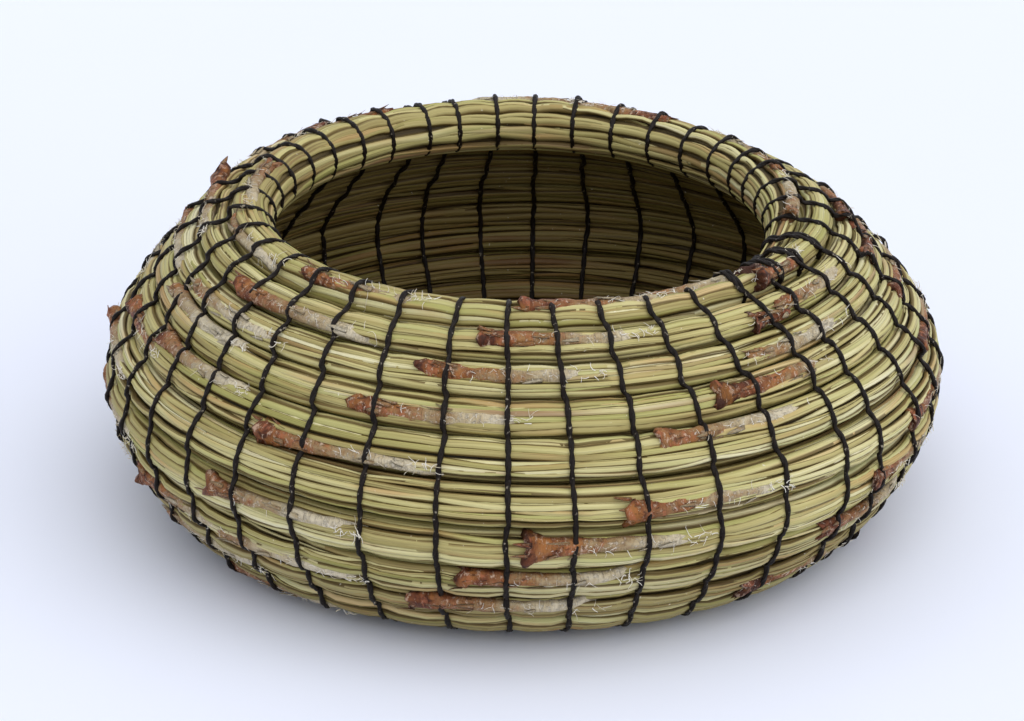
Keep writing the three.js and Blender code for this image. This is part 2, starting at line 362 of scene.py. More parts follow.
class StrandMesh:
    """Makes one mesh object from many strands, through a bevelled curve."""

    def __init__(self, name: str, strands: list[Strand], sides: int = 6) -> None:
        """Keep what the mesh is made of.

        Args:
            name: The object's name.
            strands: The strands in it.
            sides: How many sides a strand has, an even number from 4.
        """
        self.name = name
        self.strands = strands
        self.sides = sides

    def build(self, finish: bpy.types.Material) -> bpy.types.Object:
        """Build the object.

        Args:
            finish: What it is made of.

        Returns:
            The new mesh object, at the origin.
        """
        curve = bpy.data.curves.new(self.name + "_path", "CURVE")
        curve.dimensions = "3D"
        curve.bevel_depth = 1.0
        curve.bevel_resolution = self.sides // 2 - 2
        curve.twist_mode = "MINIMUM"
        for strand in self.strands:
            spline = curve.splines.new("POLY")
            spline.points.add(len(strand.points) - 1)
            rows = np.column_stack([strand.points, np.ones(len(strand.points))])
            spline.points.foreach_set("co", rows.ravel())
            spline.points.foreach_set("radius", np.asarray(strand.widths, float))
        holder = in_scene(self.name + "_path", curve)
        bpy.context.view_layer.update()
        graph = bpy.context.evaluated_depsgraph_get()
        mesh = bpy.data.meshes.new_from_object(holder.evaluated_get(graph))
        mesh.name = self.name
        bpy.data.objects.remove(holder)
        bpy.data.curves.remove(curve)
        self._close_ends(mesh)
        self._finish(mesh)
        mesh.materials.clear()
        mesh.materials.append(finish)
        return in_scene(self.name, mesh)

    def _per_ring(self, name: str) -> np.ndarray:
        """List one of the strands' values, once for each of their points.

        Args:
            name: The value's name.

        Returns:
            The values, in the order of the points.
        """
        return np.concatenate([
            np.zeros(len(strand.points)) + getattr(strand, name) for strand in self.strands
        ])

    def _close_ends(self, mesh: bpy.types.Mesh) -> None:
        """Close the open ends of the strands.

        Args:
            mesh: The mesh of all the strands.
        """
        shape = bmesh.new()
        shape.from_mesh(mesh)
        rims = [edge for edge in shape.edges if edge.is_boundary]
        bmesh.ops.holes_fill(shape, edges=rims, sides=self.sides)
        bmesh.ops.recalc_face_normals(shape, faces=shape.faces)
        shape.to_mesh(mesh)
        shape.free()

    def _finish(self, mesh: bpy.types.Mesh) -> None:
        """Flatten the strands and write their colour attributes.

        Args:
            mesh: The mesh that the curve gave, one ring of points per strand point.
        """
        count = len(mesh.vertices)
        rings = sum(len(strand.points) for strand in self.strands)
        sides = count // rings
        if sides * rings != count:
            raise ValueError(f"{self.name}: {count} points for {rings} rings")
        co = points_of(mesh).reshape(rings, sides, 3)
        centres = np.vstack([strand.points for strand in self.strands])[:, None, :]
        outward = np.vstack([strand.outward for strand in self.strands])[:, None, :]
        offset = co - centres
        lift = np.sum(offset * outward, axis=-1, keepdims=True)
        flatness = self._per_ring("flatness")[:, None, None]
        co = centres + offset - outward * lift * (1.0 - flatness)
        co[..., 2] = above_floor(co[..., 2])
        mesh.vertices.foreach_set("co", co.ravel())
        along = np.concatenate([length_along(strand.points) for strand in self.strands]) / MM
        around = np.tile(np.abs(2.0 * np.arange(sides) / sides - 1.0), rings)
        wide = np.maximum(np.linalg.norm(offset, axis=-1), 1e-9)
        plain = {
            name: np.repeat(self._per_ring(name), sides) for name in ("tone", "kind", "painted_shade")
        }
        plain["top"] = (lift[..., 0] / wide).ravel()
        grain = np.column_stack([np.repeat(along, sides), around, plain["tone"]])
        vector = mesh.attributes.new("grain", "FLOAT_VECTOR", "POINT")
        vector.data.foreach_set("vector", grain.ravel())
        for name, values in plain.items():
            mesh.attributes.new(name, "FLOAT", "POINT").data.foreach_set("value", values)
        mesh.polygons.foreach_set("use_smooth", np.ones(len(mesh.polygons), bool))
        mesh.update()


# the stitch lines' places
@dataclass(frozen=True)
class StitchPlan:
    """Where the lines of stitches run round the basket."""

    lines: int = 38
    first_azimuth: float = -2.0
    foot_stop_turn: float = 11.4
    middle_stop_turn: float = 15.6
    inner_stop_turn: float = 17.2
    finishing_after_line: float = 6.22
    finishing_stop_turn: float = 0.6
    stray: float = 0.7
    seed: int = 900
    front_lean: float = 0.6
    right_lean: float = 4.5
    left_lean: float = 2.5
    leaning_rows: float = 3.6
    doubled_lines: tuple[int, ...] = (5, 7, 8)
    seen_offsets: tuple[tuple[int, float], ...] = (
        (34, -0.1), (35, -0.1), (36, 0.0), (37, 0.5), (0, 0.0), (1, -1.1),
        (2, -1.4), (3, -0.9), (4, -0.4), (5, 1.2),
    )

    def azimuth(self, line: float) -> float:
        """Give a line's place round the basket, in degrees."""
        return self.first_azimuth + line * 360.0 / self.lines

    def stop(self, line: int) -> float:
        """Give the turn in the base at which a line begins."""
        if line % 2 == 1:
            return self.foot_stop_turn
        return self.middle_stop_turn if line % 4 == 2 else self.inner_stop_turn

    def own_offset(self, line: int) -> float:
        """Give how far a line lies off its even place.

        Args:
            line: The line's number.

        Returns:
            The offset in degrees.
        """
        known = dict(self.seen_offsets)
        if line in known:
            return known[line]
        return random.Random(self.seed + line).uniform(-self.stray, self.stray)

    def lean(self, azimuth: np.ndarray, row: np.ndarray) -> np.ndarray:
        """Give how far a line leans back towards the rim.

        Args:
            azimuth: The line's place round the basket in degrees.
            row: The row, 0 for the rim.

        Returns:
            The lean in degrees, the same all over a row.
        """
        side = np.sin(np.radians(azimuth))
        amount = self.front_lean + self.right_lean * np.maximum(side, 0.0)
        amount = amount + self.left_lean * np.maximum(-side, 0.0)
        return -amount * (1.0 - smooth(np.asarray(row, float) / self.leaning_rows))

    def places(self) -> np.ndarray:
        """List the lines' places round the basket, in degrees."""
        return np.array([
            self.azimuth(line) + self.own_offset(line) for line in range(self.lines)
        ])

    def apart(self, turn: np.ndarray) -> np.ndarray:
        """Give how far places on the coil lie from the nearest stitch.

        Args:
            turn: Turns along the coil.

        Returns:
            The distances in turns.
        """
        places = self.places()[None, :]
        turn = np.asarray(turn, float)[:, None]
        rows = np.round(turn - places / 360.0)
        stitches = rows + (places + self.lean(places, np.maximum(rows, 0.0))) / 360.0
        return np.abs(turn - stitches).min(axis=1)


# sheath ends
class SheathAge(Enum):
    """How weathered a sheath end is, from its head to its papery end."""

    RUSSET = 0.15
    ORANGE = 0.4
    GREY = 0.65
    PALE = 0.9


@dataclass(frozen=True)
class SheathPlace:
    """One sheath end that shows on the outside of the coil."""

    turn: float
    across: float = 0.0
    length: float = 27.0
    age: SheathAge = SheathAge.ORANGE
    head: float = 1.0
    lift: float = 0.0


RUSSET, ORANGE, GREY, PALE = SheathAge
SEEN_SHEATHS: tuple[SheathPlace, ...] = tuple(
    SheathPlace(*row) for row in (
        (-0.785, 0.16, 19, PALE, 0.8), (-0.71, 0.1, 22, GREY, 0.8), (-0.60, -0.1, 20, ORANGE, 0.7),
        (-0.536, 0.1, 22, PALE, 0.7), (-0.415, 0.2, 21, ORANGE, 0.8), (-0.30, -0.2, 22, GREY, 0.8),
        (-0.222, 0.3, 23, PALE, 0.5), (-0.128, 0.02, 24, ORANGE, 0.8),
        (-0.003, -0.18, 25, ORANGE, 1.15), (0.066, -0.43, 19, PALE, 0.5),
        (0.126, 0.17, 14, RUSSET, 1.75, 1.0), (0.42, 0.1, 24, GREY, 0.9),
        (0.62, -0.1, 25, ORANGE, 0.9), (0.706, 0.1, 25, ORANGE, 1.0, 2.2),
        (0.843, 0.45, 29, ORANGE, 1.1), (0.978, -0.13, 27, ORANGE, 1.15),
        (1.111, 0.34, 9, RUSSET, 1.1), (1.128, 0.05, 22, GREY, 0.7),
        (1.246, -0.4, 22, RUSSET, 1.0, 0.4), (1.43, 0.1, 26, ORANGE, 1.0),
        (1.58, -0.2, 26, GREY, 1.0), (1.72, 0.2, 25, GREY, 1.0), (1.812, 0.1, 27, PALE, 0.8),
        (1.953, -0.1, 28, ORANGE, 1.0), (2.10, 0.15, 24, PALE, 0.6), (2.225, -0.3, 24, RUSSET, 1.0),
        (2.37, 0.1, 26, ORANGE, 1.0), (2.52, -0.1, 26, GREY, 1.0), (2.66, 0.2, 27, ORANGE, 1.1),
        (2.796, -0.3, 28, PALE, 0.9), (2.928, 0.12, 28, ORANGE, 1.0),
        (3.078, -0.08, 24, RUSSET, 1.15), (3.222, 0.03, 25, ORANGE, 1.0),
        (3.41, -0.1, 26, GREY, 1.0), (3.56, 0.2, 26, ORANGE, 1.0), (3.68, -0.1, 26, GREY, 1.0),
        (3.768, 0.13, 22, RUSSET, 1.1, 0.7), (3.815, -0.3, 27, GREY, 1.0),
        (3.893, 0.42, 30, ORANGE, 1.2), (4.05, -0.25, 29, GREY, 1.1), (4.208, 0.3, 26, RUSSET, 1.0),
        (4.36, 0.0, 27, ORANGE, 1.0), (4.51, -0.2, 27, GREY, 1.0), (4.64, 0.2, 27, ORANGE, 1.0),
        (4.744, 0.11, 26, GREY, 1.0, 0.8), (5.035, 0.12, 28, ORANGE, 1.3),
        (5.175, 0.2, 26, RUSSET, 1.0), (5.33, -0.1, 27, GREY, 1.0), (5.48, 0.2, 28, ORANGE, 1.0),
        (5.62, -0.2, 28, ORANGE, 1.1), (5.76, 0.1, 27, GREY, 1.0), (5.874, -0.27, 29, GREY, 1.0),
        (5.999, -0.25, 29, ORANGE, 1.5), (6.144, -0.09, 26, ORANGE, 1.1),
        (6.30, 0.1, 27, RUSSET, 1.0), (6.46, -0.2, 27, GREY, 1.0), (6.61, 0.2, 28, ORANGE, 1.0),
        (6.74, 0.0, 27, RUSSET, 1.1), (6.818, 0.0, 26, ORANGE, 1.2, 0.5),
        (6.875, 0.18, 28, PALE, 0.8), (6.976, -0.36, 27, ORANGE, 1.15),
        (7.119, -0.22, 26, ORANGE, 1.0), (7.27, 0.1, 27, GREY, 1.0), (7.43, -0.1, 27, ORANGE, 1.0),
        (7.58, 0.2, 27, GREY, 1.0), (7.72, -0.1, 26, ORANGE, 1.1), (7.83, 0.1, 26, PALE, 0.9),
        (7.956, -0.25, 29, ORANGE, 1.25), (8.088, 0.25, 26, RUSSET, 1.1),
        (8.24, 0.0, 26, ORANGE, 1.0), (8.45, 0.1, 26, GREY, 1.0), (8.66, -0.1, 26, ORANGE, 1.0),
        (8.86, 0.2, 26, GREY, 1.0), (9.18, 0.0, 26, ORANGE, 1.0), (9.52, 0.1, 26, GREY, 1.0),
        (9.84, -0.1, 26, ORANGE, 1.0),
    )
)


@dataclass
class SheathEnds:
    """The brown ends of the needle bundles, with their papery skins."""

    line: CoilLine
    neck_half_width: float = 1.22 * MM
    head_half_width: float = 1.72 * MM
    sink: float = 0.62 * MM
    lump_size: float = 1.1 * MM
    lump_seed: int = 4400
    strand_seed: int = 4000
    head_seed: int = 4500
    curl_seed: int = 5200
    flake_seed: int = 5700
    tuck: float = 1.35 * MM
    flatness: float = 0.84
    lift_reach: float = 0.12
    neck_gains: tuple[float, float] = (0.88, 1.06)
    flare_reaches: tuple[float, float] = (0.07, 0.16)
    sway: float = 0.16 * MM
    lobe_depth: float = 0.2
    lobe_counts: tuple[int, ...] = (2, 2, 3)
    fork_depths_in_mm: tuple[float, float] = (0.3, 0.85)
    head_length_in_mm: float = 1.7
    fork_length_in_mm: float = 0.9
    roughness: float = 0.12 * MM
    head_roughness: float = 0.34 * MM
    flake_points: int = 6
    flake_lengths_in_mm: tuple[float, float] = (1.6, 3.4)
    flake_counts: tuple[int, int] = (4, 7)
    flake_flatness: float = 0.22
    curl_points: int = 8
    curl_counts: tuple[int, int] = (14, 22)
    end_curl_counts: tuple[int, ...] = (0, 6, 10, 14)
    end_curl_gain: float = 1.4
    curl_widths_in_mm: tuple[float, float] = (0.035, 0.07)
    places: tuple[SheathPlace, ...] = SEEN_SHEATHS
    sides: int = 12

    def span(self, place: SheathPlace) -> float:
        """Give a sheath's length in turns."""
        return self.line.turns(place.length * MM, place.turn)

    def downward(self, place: SheathPlace, turn: np.ndarray) -> np.ndarray:
        """Find where a sheath lies in its row.

        Args:
            place: The sheath.
            turn: Turns along the coil.

        Returns:
            The distance along the wall from the middle of the row.
        """
        above, below = self.line.reach(turn)
        start = place.across * (above + below)
        margin = self.neck_half_width * 0.8
        return np.clip(start, np.minimum(margin - above, 0), np.maximum(below - margin, 0))

    def surface(self, turn: np.ndarray, downward: np.ndarray) -> np.ndarray:
        """Find the height of the needles' surface.

        Args:
            turn: Turns along the coil.
            downward: Distance along the wall from the middle of the row.

        Returns:
            The height above the middle of the coil.
        """
        above, below = self.line.reach(turn)
        reach = np.where(downward > 0, below, above)
        share = np.clip(np.abs(downward) / reach, 0.0, 0.98)
        power = self.line.squareness(turn)
        return self.line.thickness(turn) * (1.0 - share**power) ** (1.0 / power)

    def lift_over(self, turn: float, downward: float) -> float:
        """Say how much higher a thread lies where it crosses a sheath.

        Args:
            turn: Turn along the coil at which the thread crosses.
            downward: Distance along the wall from the middle of the row.

        Returns:
            The extra height.
        """
        lift = 0.0
        for place in self.places:
            share = (turn - place.turn) / self.span(place)
            if -0.04 < share < 0.93:
                middle = float(self.downward(place, np.array([turn]))[0])
                gap = abs(downward - middle) / (self.neck_half_width * 1.5)
                if gap < 1.0:
                    rise = (0.55 + 0.5 * math.exp(-max(share, 0.0) / 0.1)) * MM
                    lift = max(lift, rise * (1.0 - gap * gap))
        return lift

    def strand(self, place: SheathPlace, number: int) -> Strand:
        """Lay one sheath along its row.

        Args:
            place: Where it lies and how it looks.
            number: Its number, which seeds its small differences.

        Returns:
            The sheath as a strand.
        """
        dice = random.Random(self.strand_seed + number)
        share = np.concatenate([
            np.linspace(0.0, 0.16, 15), np.linspace(0.19, 0.9, 22), np.linspace(0.925, 1.0, 4)
        ])
        turn = place.turn + share * self.span(place)
        down = self.downward(place, turn) + self.sway * np.sin(share * 7 + number)
        head = self.head_half_width * place.head
        neck = self.neck_half_width * dice.uniform(*self.neck_gains)
        reach = dice.uniform(*self.flare_reaches)
        flare = np.exp(-np.maximum(share - 0.05, 0.0) / reach)
        widths = neck * (1.0 - 0.12 * share) + (head - neck) * flare
        widths *= np.minimum(1.0, 0.42 + share / 0.035)
        widths *= 1.0 + 0.05 * np.sin(share * 23 + number)
        widths *= 1.0 - 0.35 * smooth((share - 0.86) / 0.14)
        height = self.surface(turn, down) - self.sink
        height = height + place.lift * MM * np.exp(-share / self.lift_reach)
        height = height - self.tuck * smooth((share - 0.78) / 0.22)
        points = self.line.place(turn, height, down)
        outward = self.line.outward_in_space(turn)
        return Strand(
            points, widths, outward, dice.random(), self.flatness, kind=place.age.value
        )

    def build(self, finish: bpy.types.Material) -> bpy.types.Object:
        """Build all the sheath ends as one piece.

        Args:
            finish: What it is made of.

        Returns:
            The new object.
        """
        strands = [self.strand(place, number) for number, place in enumerate(self.places)]
        made = StrandMesh("sheath_ends", strands, self.sides).build(finish)
        self._shape_heads(made.data, strands)
        return made

    def _shape_heads(self, mesh: bpy.types.Mesh, strands: list[Strand]) -> None:
        """Give each head its lobes and its forked end, and each skin its creases.

        Args:
            mesh: The mesh of all the sheaths.
            strands: The strands it was made from.
        """
        noise.seed_set(self.lump_seed)
        rings = len(strands[0].points)
        co = points_of(mesh).reshape(len(strands), rings, -1, 3)
        sides = co.shape[2]
        around = np.arange(sides) / sides * FULL_TURN
        for number, strand in enumerate(strands):
            dice = random.Random(self.head_seed + number)
            phase = dice.uniform(0, FULL_TURN)
            lobes = dice.choice(self.lobe_counts)
            along = length_along(strand.points) / MM
            headness = np.exp(-((along - 0.8) / self.head_length_in_mm) ** 2)[:, None]
            ripple = self.lobe_depth * headness * np.cos(lobes * around + phase)[None, :]
            ripple += 0.04 * np.sin(5 * around[None, :] + along[:, None] * 0.7 + phase)
            ripple += 0.03 * np.sin(9 * around[None, :] - along[:, None] * 1.3)
            centre = strand.points[:, None, :]
            co[number] = centre + (co[number] - centre) * (1.0 + ripple)[..., None]
            tangent = strand.points[1] - strand.points[0]
            tangent /= np.linalg.norm(tangent)
            fork = np.cos(lobes * around + phase) * dice.uniform(*self.fork_depths_in_mm) * MM
            nearness = np.exp(-((along[:, None] - 0.6) / self.fork_length_in_mm) ** 2)
            co[number] -= tangent * (fork * nearness)[..., None]
            co[number, 0] = strand.points[0] + (co[number, 0] - strand.points[0]) * 0.62
            co[number, 0] += tangent * 1.3 * MM
            rough = self.roughness + self.head_roughness * np.exp(-along / 3.0)
            for ring in range(rings):
                for side in range(sides):
                    point = Vector(co[number, ring, side])
                    lump = noise.turbulence_vector(point / self.lump_size, 3, False)
                    co[number, ring, side] += np.array(lump) * rough[ring]
        co[..., 2] = above_floor(co[..., 2])
        mesh.vertices.foreach_set("co", co.ravel())
        mesh.update()

    def flakes(self, finish: bpy.types.Material) -> bpy.types.Object:
        """Lay small dry scales along the heads and the skins.

        Args:
            finish: What it is made of.

        Returns:
            The new object.
        """
        strands: list[Strand] = []
        for number, place in enumerate(self.places):
            dice = random.Random(self.flake_seed + number)
            for _ in range(dice.randint(*self.flake_counts)):
                strands.append(self._flake(place, dice.uniform(0.0, 1.0) ** 1.6 * 0.8, dice))
        return StrandMesh("sheath_flakes", strands, 4).build(finish)

    def _flake(self, place: SheathPlace, share: float, dice: random.Random) -> Strand:
        """Make one dry scale, whose tip stands off the sheath.

        Args:
            place: The sheath that it sits on.
            share: Where along the sheath it sits.
            dice: The source of its small differences.

        Returns:
            The scale as a strand.
        """
        walk = np.linspace(0.0, 1.0, self.flake_points)
        reach = self.line.turns(dice.uniform(*self.flake_lengths_in_mm) * MM, place.turn)
        turn = place.turn + share * self.span(place) + (0.35 - walk) * reach
        around = dice.uniform(-1.1, 1.1)
        flare = math.exp(-share / 0.11)
        gain = self.head_half_width * place.head - self.neck_half_width
        half = self.neck_half_width + gain * flare
        base = self.downward(place, turn)
        lift = self.surface(turn, base) - self.sink + place.lift * MM * flare
        stand = 0.12 * MM + dice.uniform(0.15, 0.6) * MM * walk**2
        downs = base + (half + stand) * math.sin(around) + dice.uniform(-0.3, 0.3) * MM * walk
        lift = lift + (half * self.flatness + stand) * math.cos(around) - 0.1 * MM
        points = self.line.place(turn, lift, downs)
        widths = dice.uniform(0.32, 0.62) * MM * (1.0 - walk**2.2 * 0.85)
        facing = self.line.out(turn) * math.cos(around) + self.line.down(turn) * math.sin(around)
        outward = self.line.round_axis(facing, turn)
        kind = place.age.value + dice.uniform(0.0, 0.5) + 1.5 * share
        return Strand(points, widths, outward, dice.random(), self.flake_flatness, kind)

    def fibres(self, finish: bpy.types.Material) -> bpy.types.Object:
        """Scatter small pale curls of skin on the sheaths.

        Args:
            finish: What it is made of.

        Returns:
            The new object.
        """
        strands: list[Strand] = []
        for number, place in enumerate(self.places):
            dice = random.Random(self.curl_seed + number)
            for _ in range(dice.randint(*self.curl_counts)):
                share = min(0.97, max(0.02, dice.gauss(0.5, 0.32)))
                strands.append(self._curl(place, share, dice))
            for _ in range(dice.choice(self.end_curl_counts)):
                share = dice.uniform(0.84, 0.99)
                strands.append(self._curl(place, share, dice, self.end_curl_gain))
        return StrandMesh("sheath_fibres", strands, 4).build(finish)

    def _curl(
        self, place: SheathPlace, share: float, dice: random.Random, bold: float = 1.0
    ) -> Strand:
        """Make one curl.

        Args:
            place: The sheath that it sits on.
            share: Where along the sheath it sits.
            dice: The source of its small differences.
            bold: How much thicker than usual it is.

        Returns:
            The curl as a strand.
        """
        walk = np.linspace(0.0, 1.0, self.curl_points)
        middle = place.turn + share * self.span(place)
        radius = dice.uniform(0.1, 0.3)
        rounds = dice.uniform(0.2, 0.8)
        phase = dice.uniform(0, FULL_TURN)
        reach = dice.uniform(0.5, 1.6)
        way = dice.uniform(0, FULL_TURN)
        bend = walk * rounds * FULL_TURN + phase
        along = reach * walk * math.cos(way) + radius * np.cos(bend)
        down = reach * walk * math.sin(way) + radius * np.sin(bend)
        along -= along[0]
        down -= down[0]
        turn = middle + self.line.turns(along * MM, middle)
        base_down = self.downward(place, turn) + dice.uniform(-0.7, 0.7) * MM
        downs = base_down + down * MM
        lift = self.surface(turn, downs) + (0.3 + 0.75 * walk * dice.uniform(0.1, 1.0)) * MM
        points = self.line.place(turn, lift, downs)
        widths = dice.uniform(*self.curl_widths_in_mm) * bold * MM * (1.0 - 0.5 * walk)
        return Strand(points, widths, self.line.outward_in_space(turn), dice.random())


# the coil of needles
@dataclass
class NeedleCoil:
    """The coil itself: many long needles laid side by side round a core whose dark colour is painted shade.
    """

    line: CoilLine
    plan: StitchPlan
    seed: int = 1300
    strands_round: int = 28
    step: float = 1.0 / 180.0
    base_step: float = 1.0 / 96.0
    base_turn: float = 10.5
    half_width: float = 0.62 * MM
    pinch: float = 0.32 * MM
    pinch_reach: float = 1.5 * MM
    corner_pull: float = 0.6
    row_gap: float = 0.1 * MM
    layer_depth: float = 0.22 * MM
    rim_layer_share: float = 0.5
    rim_width_gain: float = 0.3
    flatness: float = 0.82
    rim_flatness: float = 0.7
    closing_turn: float = 16.5
    swell: float = 0.06 * MM
    tail_raggedness: float = 0.055
    start_stray: float = 0.014
    stray: float = 0.0095
    stray_depth: float = 0.05 * MM
    sways: tuple[tuple[float, float], ...] = ((0.022, 1.3), (0.011, 3.1))
    width_shares: tuple[float, ...] = (0.62, 0.8, 0.9, 1.0, 1.0, 1.1, 1.2, 1.3)
    thinnest: float = 0.09 * MM
    start_length: float = 22.0 * MM
    start_depth: float = 1.9 * MM
    end_length: float = 50.0 * MM
    lengths_in_mm: tuple[float, float] = (150.0, 290.0)
    first_lengths_in_mm: tuple[float, float] = (60.0, 260.0)
    overlaps_in_mm: tuple[float, float] = (24.0, 40.0)
    least_advance: float = 20 * MM
    rusty_share: float = 0.1
    # painted shade: how strongly the downward-facing needles of the lower rows are darkened
    under_shade: float = 0.75
    core_side_inset: float = 0.45 * MM
    core_face_inset: float = 1.15 * MM

    def section(self, share: np.ndarray, turn: np.ndarray) -> tuple[np.ndarray, np.ndarray]:
        """Find places that lie evenly round the coil's section.

        Args:
            share: How far round the section, from 0 facing out of the wall to 1.
            turn: Turns along the coil.

        Returns:
            The places out of the wall and towards the next row, each from -1 to 1.
        """
        power = self.line.squareness(turn)
        angles = np.linspace(0.0, FULL_TURN, 361)
        found = []
        low, high = self.line.rim_squareness, self.line.wall_squareness
        for bound in (low, high):
            rise = np.sign(np.cos(angles)) * np.abs(np.cos(angles)) ** (2.0 / bound)
            side = np.sign(np.sin(angles)) * np.abs(np.sin(angles)) ** (2.0 / bound)
            run = np.concatenate([[0.0], np.cumsum(np.hypot(np.diff(rise), np.diff(side)))])
            where = np.mod(share, 1.0) * run[-1]
            found.append((np.interp(where, run, rise), np.interp(where, run, side)))
        square = (power - low) / (high - low) * (1.0 - self.corner_pull * self.pull(turn))
        square = square * (0.3 + 0.7 * smooth((found[1][0] + 0.15) / 0.3))
        rise = found[0][0] + (found[1][0] - found[0][0]) * square
        side = found[0][1] + (found[1][1] - found[0][1]) * square
        return rise, side

    def nudges(self, turn: np.ndarray, dice: random.Random, size: float) -> np.ndarray:
        """Give small random changes that are straight from one stitch to the next.

        Args:
            turn: Turns along the coil.
            dice: The source of the changes.
            size: Their usual size.

        Returns:
            The change at each turn.
        """
        count = turn * self.plan.lines - self.plan.first_azimuth / 360.0 * self.plan.lines
        marks = np.arange(math.floor(count[0]), math.ceil(count[-1]) + 2)
        values = [dice.gauss(0.0, size) for _ in marks]
        return np.interp(count, marks, values)

    def pinched(self, turn: np.ndarray) -> np.ndarray:
        """Give how far the stitches pull the needles in, and how far they swell between.

        Args:
            turn: Turns along the coil.

        Returns:
            The change of the needles' height, negative at a stitch.
        """
        pull = self.pull(turn)
        return -self.pinch * pull + self.swell * (1.0 - pull)

    def pull(self, turn: np.ndarray) -> np.ndarray:
        """Say how strongly the nearest stitch draws the needles in.

        Args:
            turn: Turns along the coil.

        Returns:
            The pull, from 0 to 1.
        """
        apart = self.plan.apart(turn) * FULL_TURN * self.line.middle(turn)[:, 0]
        return np.exp(-((apart / self.pinch_reach) ** 2))

    def strand(
        self, share: float, under: float, start: float, length: float, dice: random.Random
    ) -> Strand:
        """Lay one needle.

        Args:
            share: Its place round the coil's section, from 0 facing out of the wall to 1.
            under: How far it lies below the needles beside it.
            start: The turn at which it begins.
            length: Its length.
            dice: The source of its small differences.

        Returns:
            The needle as a strand.
        """
        ending = min(start + self.line.turns(length, start), self.line.middle_turn)
        pace = self.step if start < self.base_turn else self.base_step
        turn = np.linspace(start, ending, max(6, int((ending - start) / pace) + 1))
        metres = (turn - start) / max(ending - start, 1e-6) * length
        round_share = share + self.nudges(turn, dice, self.stray)
        for size, rate in self.sways:
            phase = dice.uniform(0, FULL_TURN)
            round_share = round_share + size * np.sin(rate * FULL_TURN * turn + phase)
        width = self.half_width * dice.choice(self.width_shares)
        grow = smooth(metres / self.start_length)
        fade = smooth((length - metres) / self.end_length)
        if ending == self.line.middle_turn:
            fade = np.maximum(fade, smooth((turn - self.closing_turn) / 0.5))
        round_share = round_share + 0.5 / self.strands_round * (1.0 - fade)
        rim = self.line.rim_share(turn)
        behind = rim * smooth((0.3 - np.cos(turn * FULL_TURN)) / 0.9)
        widths = width * (0.16 + 0.84 * grow) * (0.12 + 0.88 * fade)
        widths = np.maximum(widths * (1.0 + self.rim_width_gain * behind), self.thinnest)
        depth = under * (1.0 - (1.0 - self.rim_layer_share) * behind)
        depth = depth + np.abs(self.nudges(turn, dice, self.stray_depth))
        inset = 0.5 * width * fade + depth + self.start_depth * (1.0 - grow)
        rise, side = self.section(round_share, turn)
        thick = self.line.thickness(turn) - inset
        thick = thick + self.pinched(turn) * smooth(rise + 0.6)
        above, below = self.line.reach(turn)
        room = 0.6 * width + 0.5 * depth + self.row_gap * (1.0 - rim)
        downward = side * np.where(side > 0, below - room, above - room)
        outward = thick * rise
        tail = self.line.tail_share(turn)
        downward = below + tail * (downward - below)
        outward = outward * tail
        widths = widths * (0.55 + 0.45 * tail)
        points = self.line.place(turn, outward, downward)
        points[:, 2] = np.maximum(points[:, 2], widths * 0.7 + FLOOR_CLEARANCE)
        facing = self._facing(turn, rise, side)
        kind = 1.0 if dice.random() < self.rusty_share else 0.0
        # painted shade: darker needles on the inside of the basket, in the valleys between rows and, on the
        # lower rows, where they face downward
        inside_shade = smooth((0.4 - rise) / 0.5) * smooth((turn - 0.3) / 0.8)
        lower = smooth((turn - 3.5) / 2.0)
        valley_shade = smooth((0.76 - 0.14 * lower - rise) / 0.45) * (rise > -0.2)
        valley_shade = valley_shade * (0.45 - 0.32 * lower)
        painted_shade = np.maximum(inside_shade, valley_shade * (1.0 - 0.8 * rim))
        underside_shade = smooth((-facing[:, 2] - 0.05) / 0.6) * smooth((turn - 6.4) / 1.0)
        painted_shade = np.maximum(painted_shade, self.under_shade * underside_shade * (rise > 0.0))
        flatness = self.flatness + (self.rim_flatness - self.flatness) * behind
        return Strand(points, widths, facing, dice.random(), flatness, kind, painted_shade)

    def _facing(self, turn: np.ndarray, rise: np.ndarray, side: np.ndarray) -> np.ndarray:
        """Find the way that a needle faces out of the bundle.

        Args:
            turn: Turns along the coil.
            rise: Its place out of the wall, from -1 to 1.
            side: Its place towards the next row, from -1 to 1.

        Returns:
            The unit vectors.
        """
        power = self.line.squareness(turn) - 1.0
        up = (np.sign(rise) * np.abs(rise) ** power)[:, None]
        across = (np.sign(side) * np.abs(side) ** power)[:, None]
        flat = self.line.out(turn) * up + self.line.down(turn) * across
        flat = flat / np.linalg.norm(flat, axis=1, keepdims=True)
        return self.line.round_axis(flat, turn)

    def all_strands(self) -> list[tuple[float, Strand]]:
        """Lay every needle of the coil.

        Returns:
            Pairs of starting turn and needle.
        """
        laid: list[tuple[float, Strand]] = []
        for place in range(self.strands_round):
            dice = random.Random(self.seed + place)
            share = place / self.strands_round
            start = self.line.tail_turn + dice.uniform(0.0, self.tail_raggedness)
            first = True
            while start < self.line.middle_turn - 0.05:
                length = dice.uniform(*self.lengths_in_mm) * MM
                if first:
                    length = dice.uniform(*self.first_lengths_in_mm) * MM
                    first = False
                own = share + dice.uniform(-self.start_stray, self.start_stray)
                under = place % 2 * self.layer_depth
                laid.append((start, self.strand(own, under, start, length, dice)))
                overlap = dice.uniform(*self.overlaps_in_mm) * MM
                start += self.line.turns(max(length - overlap, self.least_advance), start)
        return laid

